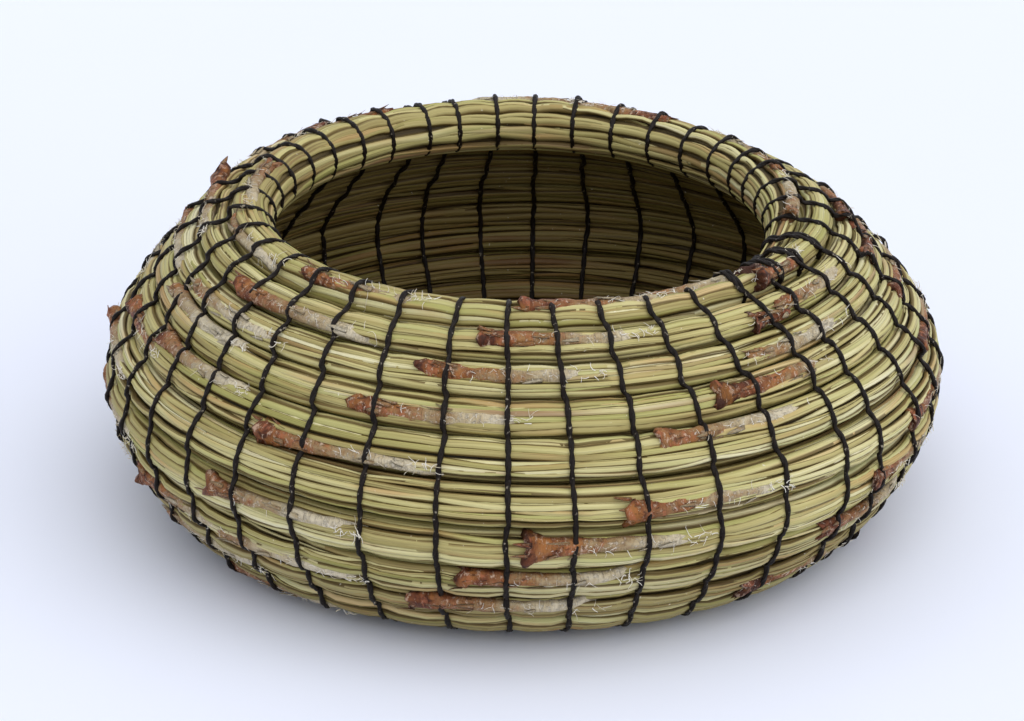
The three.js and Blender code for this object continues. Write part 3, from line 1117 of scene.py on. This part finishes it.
    def core(self) -> Strand:
        """Lay the core that closes the middle of the bundle, coloured dark as painted shade.

        Returns:
            The core as a strand.
        """
        turn = np.arange(self.line.tail_turn + 0.03, self.line.middle_turn, self.step)
        above, below = self.line.reach(turn)
        tail = self.line.tail_share(turn)
        middle = (below - above) / 2.0
        middle = below + tail * (middle - below)
        widths = ((above + below) / 2.0 - self.core_side_inset) * tail
        thick = (self.line.thickness(turn) - self.core_face_inset) * tail
        points = self.line.place(turn, 0 * turn, middle)
        return Strand(points, widths, self.line.outward_in_space(turn), 0.5, thick / widths)

    def build(
        self, needle: bpy.types.Material, core: bpy.types.Material
    ) -> list[bpy.types.Object]:
        """Build the coil, one piece for each round that the needles begin in.

        Args:
            needle: The needles' finish.
            core: The core's finish.

        Returns:
            The new objects.
        """
        groups: dict[int, list[Strand]] = {}
        for start, strand in self.all_strands():
            groups.setdefault(int(math.floor(start)) + 1, []).append(strand)
        made = [
            StrandMesh(f"needles_round_{number:02d}", strands).build(needle)
            for number, strands in sorted(groups.items())
        ]
        return made + [StrandMesh("coil_core", [self.core()], 8).build(core)]


# the stitches
@dataclass
class ThreadStitches:
    """The dark waxed thread: one line of stitches after another, of two twisted plies."""

    line: CoilLine
    plan: StitchPlan
    sheaths: SheathEnds
    ply_half_width: float = 0.335 * MM
    ply_offset: float = 0.165 * MM
    twist_length: float = 5.4 * MM
    twist_flatness: float = 0.8
    swell: float = 0.06
    swell_length: float = 3.7 * MM
    path_seed: int = 7000
    twist_seed: int = 7700
    doubled_seed_step: int = 65
    finishing_seed_step: int = 60
    seat: float = 0.1 * MM
    dip_share: float = 0.78
    crest_share: float = 0.78
    edge_share: float = 0.9
    inner_share: float = 0.97
    inner_dip_share: float = 0.96
    hollow_turn: float = 7.0
    hollow_span: float = 4.0
    full_tail: float = 0.8
    wobble: float = 0.2
    slants: tuple[float, float] = (-0.12, 0.2)
    rim_angles: tuple[int, ...] = (180, 150, 120, 90, 60, 30)
    sample: float = 0.66 * MM
    flatness: float = 0.86
    lowest: float = 0.5 * MM
    double_offset: float = 1.25
    hollow_gain: float = 0.12
    turned_share: float = 0.4
    doubled_shares: tuple[float, float] = (-0.4, 0.6)

    def _turn_of(self, row: int, azimuth: float, wobble: float) -> float:
        """Find the turn at which a line crosses a row.

        Args:
            row: The row, 0 for the rim.
            azimuth: The line's place round the basket in degrees.
            wobble: How far the stitch lies aside, in degrees.

        Returns:
            The turn.
        """
        lean = float(self.plan.lean(np.array(azimuth), np.array(max(row, 0))))
        return row + (azimuth + lean + wobble) / 360.0

    def _size_at(self, turn: float) -> tuple[float, float, float, float]:
        """Measure the coil at one turn.

        Args:
            turn: Turns along the coil.

        Returns:
            Half its thickness, its reach up and down, and its fullness.
        """
        place = np.array([turn])
        above, below = self.line.reach(place)
        thick = self.line.thickness(place)
        tail = self.line.tail_share(place)
        return float(thick[0]), float(above[0]), float(below[0]), float(tail[0])

    def _knots(
        self, line: int, azimuth: float, stop: float, toward: float
    ) -> tuple[np.ndarray, np.ndarray]:
        """Find the points that a line of stitches passes through.

        Args:
            line: The line's number, which seeds its small differences.
            azimuth: Its place round the basket in degrees.
            stop: The turn in the base at which it begins.
            toward: How far the last stitch of a short line turns aside, in degrees.

        Returns:
            The points and the way out of the coil at each.
        """
        dice = random.Random(self.path_seed + line)
        share = azimuth / 360.0
        first = math.ceil(self.line.tail_turn - share + 1e-6)
        rows = [count for count in range(first, 30) if count + share <= stop]
        span = range(first - 1, 31)
        wobbles = [dice.uniform(-self.wobble, self.wobble) for _ in span]
        slant = {count: dice.uniform(*self.slants) / 360.0 for count in span}
        turns = {
            count: self._turn_of(count, azimuth, wobble) for count, wobble in zip(span, wobbles)
        }
        knots: list[tuple[float, float, float]] = []
        for count in reversed(rows[1:]):
            turn = turns[count]
            thick, above, below, _ = self._size_at(turn)
            hollow = 1.0 - float(smooth((turn - self.hollow_turn) / self.hollow_span))
            depth = thick * (self.inner_share + self.hollow_gain * hollow)
            knots.append((turn, -depth, below * self.inner_dip_share))
            knots.append((turn, -(thick + self.seat), 0.0))
        turn = turns[rows[0]]
        thick, above, below, tail = self._size_at(turn)
        middle = below * (1.0 - tail)
        for degrees in self.rim_angles:
            angle = math.radians(degrees)
            out = (thick * tail + self.seat) * math.cos(angle)
            up = (above * tail + self.seat) * math.sin(angle)
            knots.append((turn, out, middle - up))
        for count in rows:
            turn = turns[count]
            lean = slant[count]
            thick, above, below, tail = self._size_at(turn)
            middle = below * (1.0 - tail)
            edge = thick * self.edge_share + self.seat
            up, down = -above * self.crest_share, below * self.crest_share
            if count != rows[0]:
                knots.append((turn + lean, edge + self.sheaths.lift_over(turn, up), up))
            rise = self.sheaths.lift_over(turn, 0.0)
            knots.append((turn, thick * tail + self.seat + rise, middle))
            if tail > self.full_tail:
                knots.append((turn - lean, edge + self.sheaths.lift_over(turn, down), down))
            after = turns[count + 1] + slant[count + 1] - 1.0
            knots.append(((turn - lean + after) / 2.0, thick * self.dip_share, below))
        if stop < 1.0:
            turn, out, down = knots.pop()
            turn += toward / 360.0
            knots += [(turn, out, down), (turn, out * self.turned_share, down)]
        table = np.array(knots)
        points = self.line.place(table[:, 0], table[:, 1], table[:, 2])
        outward = self.line.outward_in_space(table[:, 0])
        sign = np.where(table[:, 1] < 0, -1.0, 1.0)[:, None]
        return points, outward * sign

    @staticmethod
    def _spline(knots: np.ndarray, parts: int = 8) -> np.ndarray:
        """Draw a smooth curve through knots.

        Args:
            knots: The knots.
            parts: How many parts it has from knot to knot.

        Returns:
            The points of the curve.
        """
        padded = with_ends(knots)
        share = np.linspace(0.0, 1.0, parts, endpoint=False)[None, :, None]
        curve = through_knots(
            [padded[step:len(padded) - 3 + step, None, :] for step in range(4)], share
        )
        return np.vstack([curve.reshape(-1, knots.shape[1]), knots[-1]])

    def _even(self, points: np.ndarray, outward: np.ndarray) -> tuple[np.ndarray, np.ndarray]:
        """Space the points of a path evenly.

        Args:
            points: The path.
            outward: The way out of the coil at each point.

        Returns:
            The evenly spaced points and their ways out.
        """
        run = length_along(points)
        keep = np.concatenate([[True], np.diff(run) > 1e-9])
        places = np.linspace(0.0, run[-1], max(8, int(run[-1] / self.sample)))
        even, ways = (
            np.column_stack([np.interp(places, run[keep], axis) for axis in rows[keep].T])
            for rows in (points, outward)
        )
        return even, ways

    def plies(
        self, line: int, azimuth: float, stop: float, toward: float = 0.0
    ) -> list[Strand]:
        """Twist a line's two plies round its path.

        Args:
            line: The line's number.
            azimuth: Its place round the basket in degrees.
            stop: The turn in the base at which it begins.
            toward: How far the last stitch of a short line turns aside, in degrees.

        Returns:
            The two plies.
        """
        knots, ways = self._knots(line, azimuth, stop, toward)
        points, outward = self._even(self._spline(knots), self._spline(ways))
        points[:, 2] = np.maximum(points[:, 2], self.lowest)
        tangent = np.gradient(points, axis=0)
        tangent /= np.linalg.norm(tangent, axis=1, keepdims=True) + 1e-12
        outward = outward - tangent * np.sum(outward * tangent, axis=1, keepdims=True)
        outward /= np.linalg.norm(outward, axis=1, keepdims=True) + 1e-12
        sideways = np.cross(tangent, outward)
        run = length_along(points)
        dice = random.Random(self.twist_seed + line)
        phase = dice.uniform(0, FULL_TURN)
        made = []
        for ply in range(2):
            angle = (run / self.twist_length * FULL_TURN + phase + ply * math.pi)[:, None]
            around = np.cos(angle) * outward * self.twist_flatness + np.sin(angle) * sideways
            offset = self.ply_offset * around
            swell = self.swell * np.sin(run / self.swell_length + phase)
            widths = self.ply_half_width * (1.0 + swell)
            made.append(Strand(points + offset, widths, outward, dice.random(), self.flatness))
        return made

    def build(self, finish: bpy.types.Material) -> list[tuple[bpy.types.Object, str]]:
        """Build every line of stitches and the finishing stitch.

        Args:
            finish: The thread's finish.

        Returns:
            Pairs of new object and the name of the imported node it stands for.
        """
        made = []
        for line in range(self.plan.lines):
            azimuth = self.plan.azimuth(line) + self.plan.own_offset(line)
            strands = self.plies(line, azimuth, self.plan.stop(line))
            if line in self.plan.doubled_lines:
                beside = azimuth - self.double_offset
                strands += self.plies(
                    self.doubled_seed_step + line, beside, self.plan.finishing_stop_turn, self.double_offset
                )
            piece = StrandMesh(f"thread_line_{line + 1:02d}", strands).build(finish)
            made.append((piece, f"stitch_line_{line + 1:02d}"))
        azimuth = self.plan.azimuth(self.plan.finishing_after_line)
        strands = []
        for number, share in enumerate(self.doubled_shares):
            aside = share * self.double_offset
            strands += self.plies(
                self.finishing_seed_step + number, azimuth + aside, self.plan.finishing_stop_turn, -aside
            )
        piece = StrandMesh("thread_finishing", strands).build(finish)
        made.append((piece, "finishing_stitch"))
        return made


# the finishes
def linear(value: int) -> float:
    """Turn one channel of a screen colour, 0 to 255, into the renderer's own value."""
    share = value / 255.0
    return share / 12.92 if share <= 0.04045 else ((share + 0.055) / 1.055) ** 2.4


def shade(red: int, green: int, blue: int) -> Colour:
    """Turn a colour as it is seen on a screen into the renderer's own values."""
    return (linear(red), linear(green), linear(blue), 1.0)


def stops(*rows: tuple[float, int, int, int]) -> Stops:
    """List a ramp's places, each with its colour as it is seen on a screen."""
    return tuple((row[0], shade(*row[1:])) for row in rows)


class NodeBench:
    """A short way to lay out a material's nodes."""

    def __init__(self, name: str, roughness: float, gloss: float = 0.5) -> None:
        """Start a material with one shader.

        Args:
            name: The material's name.
            roughness: How dull it is.
            gloss: How strongly it mirrors the light.
        """
        self.material = bpy.data.materials.new(name)
        self.material.use_nodes = True
        self.tree = self.material.node_tree
        self.shader = self.tree.nodes["Principled BSDF"]
        self.shader.inputs["Roughness"].default_value = roughness
        self.shader.inputs["Specular IOR Level"].default_value = gloss

    def link(self, start: Socket, end: Socket) -> None:
        """Join two sockets."""
        self.tree.links.new(start, end)

    def attribute(self, name: str, output: str) -> Socket:
        """Read one of the mesh's own attributes.

        Args:
            name: The attribute's name.
            output: Which of its outputs is read.

        Returns:
            Its value.
        """
        node = self.tree.nodes.new("ShaderNodeAttribute")
        node.attribute_name = name
        return node.outputs[output]

    def place(self) -> Socket:
        """Read the place on the object."""
        return self.tree.nodes.new("ShaderNodeTexCoord").outputs["Object"]

    def first_of(self, vector: Socket) -> Socket:
        """Take the first number of a vector.

        Args:
            vector: The vector.

        Returns:
            The number.
        """
        node = self.tree.nodes.new("ShaderNodeSeparateXYZ")
        self.link(vector, node.inputs[0])
        return node.outputs[0]

    def stretched(self, vector: Socket, scale: tuple[float, float, float]) -> Socket:
        """Stretch a pattern's coordinates.

        Args:
            vector: The coordinates.
            scale: The scale in each.

        Returns:
            The stretched coordinates.
        """
        node = self.tree.nodes.new("ShaderNodeVectorMath")
        node.operation = "MULTIPLY"
        node.inputs[1].default_value = scale
        self.link(vector, node.inputs[0])
        return node.outputs[0]

    def noise(
        self, vector: Socket, scale: float, detail: float = 2.0, roughness: float = 0.55
    ) -> Socket:
        """Add a noise pattern.

        Args:
            vector: The coordinates that it follows.
            scale: Its scale.
            detail: How many finer layers it has.
            roughness: How strong those layers are.

        Returns:
            Its value.
        """
        node = self.tree.nodes.new("ShaderNodeTexNoise")
        node.inputs["Scale"].default_value = scale
        node.inputs["Detail"].default_value = detail
        node.inputs["Roughness"].default_value = roughness
        self.link(vector, node.inputs["Vector"])
        return node.outputs["Fac"]

    def streaks(
        self, grain: Socket, scale: tuple[float, float, float], detail: float = 2.0,
        roughness: float = 0.55,
    ) -> Socket:
        """Add a noise pattern that follows the strands.

        Args:
            grain: Their own coordinates: along, around and the strand's tone.
            scale: The pattern's scale in each.
            detail: How many finer layers it has.
            roughness: How strong those layers are.

        Returns:
            Its value.
        """
        return self.noise(self.stretched(grain, scale), 1.0, detail, roughness)

    def ramp(self, value: Socket, stops: Stops) -> Socket:
        """Turn a value into a colour.

        Args:
            value: The value.
            stops: Places from 0 to 1 and their colours.

        Returns:
            The colour.
        """
        node = self.tree.nodes.new("ShaderNodeValToRGB")
        elements = node.color_ramp.elements
        while len(elements) < len(stops):
            elements.new(0.5)
        for element, (where, colour) in zip(elements, stops):
            element.position = where
            element.color = colour
        self.link(value, node.inputs["Fac"])
        return node.outputs["Color"]

    def remap(
        self, value: Socket, low: float, high: float,
        to_low: float = 0.0, to_high: float = 1.0,
    ) -> Socket:
        """Stretch a value from one range to another and hold it there.

        Args:
            value: The value.
            low: Where the first range starts.
            high: Where it ends.
            to_low: Where the second range starts.
            to_high: Where it ends.

        Returns:
            The new value.
        """
        node = self.tree.nodes.new("ShaderNodeMapRange")
        for name, number in (
            ("From Min", low), ("From Max", high), ("To Min", to_low), ("To Max", to_high)
        ):
            node.inputs[name].default_value = number
        self.link(value, node.inputs["Value"])
        return node.outputs["Result"]

    def sums(self, first: Socket, second: Socket | float, operation: str = "ADD") -> Socket:
        """Join two values by a sum or by another operation.

        Args:
            first: The first value.
            second: The second value or a number.
            operation: The operation.

        Returns:
            The joined value.
        """
        node = self.tree.nodes.new("ShaderNodeMath")
        node.operation = operation
        self.link(first, node.inputs[0])
        if isinstance(second, float):
            node.inputs[1].default_value = second
        else:
            self.link(second, node.inputs[1])
        return node.outputs[0]

    def product(self, first: Socket, second: Socket | float) -> Socket:
        """Multiply two values."""
        return self.sums(first, second, "MULTIPLY")

    def mix(
        self, share: Socket, first: Socket, second: Socket | Colour, blend: str = "MIX"
    ) -> Socket:
        """Mix two colours.

        Args:
            share: How much of the second.
            first: The first colour.
            second: The second colour, plain or patterned.
            blend: How they mix.

        Returns:
            The mixed colour.
        """
        node = self.tree.nodes.new("ShaderNodeMix")
        node.data_type = "RGBA"
        node.blend_type = blend
        self.link(share, node.inputs["Factor"])
        self.link(first, node.inputs[6])
        if isinstance(second, tuple):
            node.inputs[7].default_value = second
        else:
            self.link(second, node.inputs[7])
        return node.outputs[2]

    def cover(
        self, colour: Socket, pattern: Socket, edges: tuple[float, float], most: float,
        over: Colour,
    ) -> Socket:
        """Lay a second colour over the first where a pattern calls for it.

        Args:
            colour: The first colour.
            pattern: The pattern.
            edges: The pattern's values where the second colour starts and is full.
            most: How strong it is there.
            over: The second colour.

        Returns:
            The new colour.
        """
        return self.mix(self.remap(pattern, edges[0], edges[1], 0.0, most), colour, over)

    def bump(self, height: Socket, distance: float, strength: float = 1.0) -> None:
        """Raise the surface by a pattern.

        Args:
            height: The pattern.
            distance: How high it rises.
            strength: How much of that is shown.
        """
        node = self.tree.nodes.new("ShaderNodeBump")
        node.inputs["Distance"].default_value = distance
        node.inputs["Strength"].default_value = strength
        self.link(height, node.inputs["Height"])
        self.link(node.outputs["Normal"], self.shader.inputs["Normal"])

    def colour(self, socket: Socket) -> None:
        """Give the shader its colour."""
        self.link(socket, self.shader.inputs["Base Color"])


@dataclass(frozen=True)
class NeedleFinish:
    """Dried pine needles: pale straw and olive, each with fine lengthwise lines."""

    tones: Stops = stops(
        (0.0, 124, 106, 62),
        (0.22, 162, 148, 92),
        (0.5, 188, 177, 118),
        (0.78, 208, 199, 145),
        (1.0, 224, 217, 177),
    )
    green: Colour = shade(156, 158, 82)
    tan: Colour = shade(190, 150, 98)
    brown: Colour = shade(140, 98, 62)
    line: Colour = shade(88, 70, 36)
    # painted shade between the needles: the colour of their sides that turn away from the outside
    side: Colour = shade(92, 70, 28)
    # painted shade: the colour that the needles are multiplied by where shade is painted
    painted_shade: Colour = (0.45, 0.38, 0.28, 1.0)
    speck: Colour = shade(232, 226, 206)
    roughness: float = 0.58
    gloss: float = 0.3
    middle: float = 0.42
    paler: float = 0.13
    line_depth: float = 0.05 * MM

    def build(self) -> bpy.types.Material:
        """Build the material.

        Returns:
            The new material.
        """
        bench = NodeBench("pine_needles", self.roughness, self.gloss)
        grain = bench.attribute("grain", "Vector")
        tone = bench.attribute("tone", "Fac")
        kind = bench.attribute("kind", "Fac")
        lines = bench.streaks(grain, (0.05, 5.5, 61.0))
        patches = bench.streaks(grain, (0.03, 0.3, 83.0))
        regions = bench.noise(bench.place(), 26.0)
        level = bench.remap(tone, 0.0, 1.0, 0.2, 0.87)
        level = bench.sums(level, bench.remap(patches, 0.3, 0.7, -0.2, 0.2))
        level = bench.sums(level, bench.remap(lines, 0.3, 0.7, -0.14, 0.14))
        level = bench.sums(level, bench.remap(regions, 0.3, 0.7, -0.09, 0.09))
        # the needles are made paler towards the right side of the basket (+x)
        rightward = bench.first_of(bench.place())
        level = bench.sums(level, bench.remap(rightward, 0.02, 0.06, 0.0, self.paler))
        # painted shade: where the coil's painted shade attribute is set, the tones are evened out and the
        # colour darkened
        painted_shade = bench.attribute("painted_shade", "Fac")
        calm = bench.remap(painted_shade, 0.3, 1.0, 1.0, 0.4)
        level = bench.product(bench.sums(level, -self.middle), calm)
        colour = bench.ramp(bench.sums(level, self.middle), self.tones)
        greener = bench.streaks(grain, (0.024, 0.2, 137.0), 1.0)
        colour = bench.cover(colour, greener, (0.5, 0.66), 0.55, self.green)
        warmer = bench.streaks(grain, (0.04, 0.6, 211.0))
        colour = bench.cover(colour, warmer, (0.56, 0.7), 0.6, self.tan)
        rusty = bench.product(kind, bench.remap(patches, 0.4, 0.62))
        colour = bench.mix(bench.product(rusty, 0.8), colour, self.brown)
        fine = bench.streaks(grain, (0.03, 12.0, 47.0))
        colour = bench.cover(colour, fine, (0.56, 0.7), 0.6, self.line)
        # painted shade: each needle's sides, which turn away from the outside, are darkened where the
        # needles meet
        top = bench.attribute("top", "Fac")
        colour = bench.cover(colour, top, (0.7, 0.46), 0.84, self.side)
        # painted shade: darken the needles by their painted shade attribute
        colour = bench.mix(painted_shade, colour, self.painted_shade, "MULTIPLY")
        specks = bench.noise(bench.place(), 1400.0)
        bench.colour(bench.cover(colour, specks, (0.73, 0.79), 0.75, self.speck))
        bench.bump(lines, self.line_depth, 0.6)
        return bench.material


@dataclass(frozen=True)
class CoreFinish:
    """The needles deep between the others, coloured dark as painted shade inside the bundle."""

    tones: Stops = stops(
        (0.0, 44, 35, 18),
        (0.5, 78, 64, 34),
        (1.0, 116, 99, 58),
    )
    roughness: float = 0.8
    line_depth: float = 0.2 * MM

    def build(self) -> bpy.types.Material:
        """Build the material.

        Returns:
            The new material.
        """
        bench = NodeBench("deep_needles", self.roughness)
        grain = bench.attribute("grain", "Vector")
        lines = bench.streaks(grain, (0.04, 14.0, 1.0), 3.0)
        bench.colour(bench.ramp(bench.remap(lines, 0.3, 0.7), self.tones))
        bench.bump(lines, self.line_depth)
        return bench.material


@dataclass(frozen=True)
class SheathFinish:
    """Sheath ends: a dark reddish head, an amber neck and a ringed, papery grey skin."""

    tones: Stops = stops(
        (0.0, 60, 28, 12),
        (0.1, 97, 50, 26),
        (0.22, 127, 76, 43),
        (0.36, 146, 102, 64),
        (0.5, 151, 120, 82),
        (0.66, 171, 149, 113),
        (0.82, 193, 176, 142),
        (1.0, 211, 198, 170),
    )
    amber: Colour = shade(172, 112, 52)
    blush: Colour = shade(180, 108, 76)
    skin: Colour = shade(219, 208, 186)
    peel: Colour = shade(216, 168, 138)
    # colour of the skin's dark folds and rings, and of the painted shade on the sheath's sides
    fold_and_painted_shade: Colour = shade(48, 20, 7)
    roughness: float = 0.5
    gloss: float = 0.22
    relief: float = 0.34 * MM
    length_in_mm: float = 27.0

    def build(self) -> bpy.types.Material:
        """Build the material.

        Returns:
            The new material.
        """
        bench = NodeBench("sheath_skin", self.roughness, self.gloss)
        grain = bench.attribute("grain", "Vector")
        age = bench.attribute("kind", "Fac")
        along = bench.product(bench.first_of(grain), 1.0 / self.length_in_mm)
        blotch = bench.streaks(grain, (0.5, 2.0, 71.0), 3.0, 0.6)
        level = bench.sums(along, bench.remap(blotch, 0.3, 0.7, -0.17, 0.17))
        level = bench.sums(level, bench.remap(age, 0.15, 1.9, -0.1, 0.97))
        colour = bench.ramp(level, self.tones)
        early = bench.remap(level, 0.75, 0.3)
        glow = bench.streaks(grain, (0.3, 1.1, 29.0))
        glow = bench.product(bench.remap(glow, 0.5, 0.6, 0.0, 0.48), early)
        colour = bench.mix(glow, colour, self.amber)
        pink = bench.streaks(grain, (0.9, 2.4, 91.0))
        pink = bench.product(bench.remap(pink, 0.56, 0.64, 0.0, 0.5), early)
        colour = bench.mix(pink, colour, self.blush)
        rings = bench.streaks(grain, (4.2, 0.9, 19.0), 3.0, 0.65)
        folds = bench.streaks(grain, (0.6, 5.5, 37.0), 4.0, 0.65)
        dark = bench.product(bench.remap(folds, 0.54, 0.63, 0.0, 0.8), early)
        dark = bench.sums(dark, bench.remap(rings, 0.56, 0.72, 0.0, 0.5), "MAXIMUM")
        colour = bench.mix(dark, colour, self.fold_and_painted_shade)
        flakes = bench.streaks(grain, (1.5, 4.0, 53.0), 5.0, 0.75)
        flaky = bench.product(
            bench.remap(flakes, 0.55, 0.6), bench.remap(level, 0.05, 0.9, 0.25, 1.0)
        )
        colour = bench.mix(flaky, colour, self.skin)
        peeling = bench.product(bench.product(flaky, early), 0.8)
        colour = bench.mix(peeling, colour, self.peel)
        # painted shade: the sheath's sides and underside, which turn away from the outside, are darkened
        # where they lie on the needles
        top = bench.attribute("top", "Fac")
        bench.colour(bench.cover(colour, top, (0.35, -0.3), 0.6, self.fold_and_painted_shade))
        height = bench.sums(folds, bench.product(rings, 0.9))
        height = bench.sums(height, bench.product(flaky, 0.35))
        bench.bump(height, self.relief)
        return bench.material


@dataclass(frozen=True)
class FibreFinish:
    """Thin pale curls of torn skin."""

    tones: Stops = stops((0.0, 206, 192, 160), (1.0, 244, 241, 234))
    roughness: float = 0.6

    def build(self) -> bpy.types.Material:
        """Build the material.

        Returns:
            The new material.
        """
        bench = NodeBench("torn_skin", self.roughness)
        tone = bench.attribute("tone", "Fac")
        spots = bench.noise(bench.place(), 900.0)
        level = bench.sums(bench.product(tone, 0.7), bench.product(spots, 0.4))
        bench.colour(bench.ramp(level, self.tones))
        return bench.material


@dataclass(frozen=True)
class ThreadFinish:
    """Dark waxed thread, with a little dust caught in the wax."""

    tones: Stops = stops(
        (0.0, 9, 5, 3),
        (0.55, 20, 13, 9),
        (1.0, 44, 32, 24),
    )
    dust: Colour = shade(170, 160, 142)
    roughness: float = 0.48
    gloss: float = 0.16
    relief: float = 0.13 * MM

    def build(self) -> bpy.types.Material:
        """Build the material.

        Returns:
            The new material.
        """
        bench = NodeBench("waxed_thread", self.roughness, self.gloss)
        grain = bench.attribute("grain", "Vector")
        fibres = bench.streaks(grain, (0.9, 10.0, 23.0), 3.0, 0.65)
        colour = bench.ramp(bench.remap(fibres, 0.3, 0.72), self.tones)
        specks = bench.noise(bench.place(), 1200.0)
        bench.colour(bench.cover(colour, specks, (0.66, 0.75), 0.8, self.dust))
        lumps = bench.streaks(grain, (1.6, 2.6, 31.0))
        bench.bump(bench.sums(fibres, bench.product(lumps, 1.4)), self.relief)
        return bench.material


# the studio
@dataclass(frozen=True)
class FloorFinish:
    """A pale bluish white sheet under the basket."""

    seen: Colour = shade(236, 240, 254)
    roughness: float = 0.9
    gloss: float = 0.1

    def build(self) -> bpy.types.Material:
        """Build the material.

        Returns:
            The new material.
        """
        bench = NodeBench("studio_floor", self.roughness, self.gloss)
        mottle = bench.noise(bench.place(), 9.0)
        pale = tuple(min(1.0, value * 1.01) for value in self.seen[:3]) + (1.0,)
        bench.colour(bench.ramp(bench.remap(mottle, 0.3, 0.7), ((0.0, self.seen), (1.0, pale))))
        return bench.material


@dataclass(frozen=True)
class Lamp:
    """One large, far and soft studio lamp, by where it stands and how wide it looks."""

    name: str
    place: tuple[float, float, float]
    spread: float
    strength: float
    colour: tuple[float, float, float] = (0.99, 0.99, 1.0)


@dataclass
class Studio:
    """The floor, the lights and the camera."""

    backdrop: Colour = shade(240, 245, 255)
    floor_width: float = 6.0
    world_colour: Colour = (0.88, 0.93, 1.0, 1.0)
    world_strength: float = 0.36
    camera_place: tuple[float, float, float] = (0.0, -0.5236, 0.2575)
    camera_aim: tuple[float, float, float] = (-0.0019, -0.00885, 0.0266)
    lens: float = 118.9
    sensor_width: float = 36.0
    nearest: float = 0.01
    lamps: tuple[Lamp, ...] = (
        Lamp("soft_light_above", (0.08, -0.1, 1.0), 130.0, 1.44),
        Lamp("soft_light_front", (0.6, -0.85, 1.1), 88.0, 1.33),
    )

    @staticmethod
    def stand(
        made: bpy.types.Object, place: tuple[float, float, float],
        aim: tuple[float, float, float],
    ) -> None:
        """Put a lamp or the camera in its place and turn it to what it looks at.

        Args:
            made: The lamp or the camera.
            place: Where it stands.
            aim: What it looks at.
        """
        made.location = place
        way = Vector(aim) - Vector(place)
        made.rotation_euler = way.to_track_quat("-Z", "Y").to_euler()

    def floor(self) -> None:
        """Lay the floor."""
        sheet = bmesh.new()
        bmesh.ops.create_grid(sheet, x_segments=2, y_segments=2, size=self.floor_width / 2.0)
        mesh = bpy.data.meshes.new("studio_floor")
        sheet.to_mesh(mesh)
        sheet.free()
        mesh.materials.append(FloorFinish().build())
        in_scene("studio_floor", mesh)

    def light(self) -> None:
        """Hang the lamps and set the pale surroundings."""
        for lamp in self.lamps:
            data = bpy.data.lights.new(lamp.name, "SUN")
            data.angle = math.radians(lamp.spread)
            data.energy = lamp.strength
            data.color = lamp.colour
            self.stand(in_scene(lamp.name, data), lamp.place, (0.0, 0.0, 0.0))
        world = bpy.data.worlds.new("studio_world")
        world.use_nodes = True
        tree = world.node_tree
        glow = tree.nodes["Background"]
        glow.inputs["Color"].default_value = self.world_colour
        glow.inputs["Strength"].default_value = self.world_strength
        seen = tree.nodes.new("ShaderNodeBackground")
        seen.inputs["Color"].default_value = self.backdrop
        path = tree.nodes.new("ShaderNodeLightPath")
        mixed = tree.nodes.new("ShaderNodeMixShader")
        output = tree.nodes["World Output"]
        share = path.outputs["Is Camera Ray"]
        for kind in ("Is Glossy Ray", "Is Transmission Ray"):
            either = tree.nodes.new("ShaderNodeMath")
            either.operation = "MAXIMUM"
            tree.links.new(share, either.inputs[0])
            tree.links.new(path.outputs[kind], either.inputs[1])
            share = either.outputs[0]
        tree.links.new(share, mixed.inputs["Fac"])
        tree.links.new(glow.outputs[0], mixed.inputs[1])
        tree.links.new(seen.outputs[0], mixed.inputs[2])
        tree.links.new(mixed.outputs[0], output.inputs["Surface"])
        bpy.context.scene.world = world

    def camera(self) -> None:
        """Stand the camera where the photograph was taken from."""
        data = bpy.data.cameras.new("camera")
        data.lens = self.lens
        data.sensor_width = self.sensor_width
        data.clip_start = self.nearest
        made = in_scene("camera", data)
        self.stand(made, self.camera_place, self.camera_aim)
        bpy.context.scene.camera = made

    def build(self) -> None:
        """Set up the whole studio."""
        self.camera()
        self.floor()
        self.light()
        bpy.context.scene.view_settings.view_transform = "Standard"


def place_piece(piece: bpy.types.Object, slot: str, *nodes: str) -> None:
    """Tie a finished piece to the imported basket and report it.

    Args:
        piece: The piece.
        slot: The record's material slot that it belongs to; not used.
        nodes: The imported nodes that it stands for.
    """
    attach(piece, "root")
    if nodes:
        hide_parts(*nodes)
    triangles = sum(len(face.vertices) - 2 for face in piece.data.polygons)
    LOG.info("%s: %d triangles", piece.name, triangles)


def main() -> None:
    """Build the basket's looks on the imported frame."""
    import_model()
    Studio().build()
    line = CoilLine()
    plan = StitchPlan()
    coil = NeedleCoil(line, plan)
    for piece in coil.build(NeedleFinish().build(), CoreFinish().build()):
        place_piece(piece, "pine_needles", "needle_coil")
    sheaths = SheathEnds(line)
    skin = SheathFinish().build()
    torn = FibreFinish().build()
    for piece in (sheaths.build(skin), sheaths.flakes(skin), sheaths.fibres(torn)):
        place_piece(piece, "pine_needles", "needle_coil")
    stitches = ThreadStitches(line, plan, sheaths)
    for piece, node in stitches.build(ThreadFinish().build()):
        place_piece(piece, "waxed_thread", node)


if __name__ == "__main__":
    main()
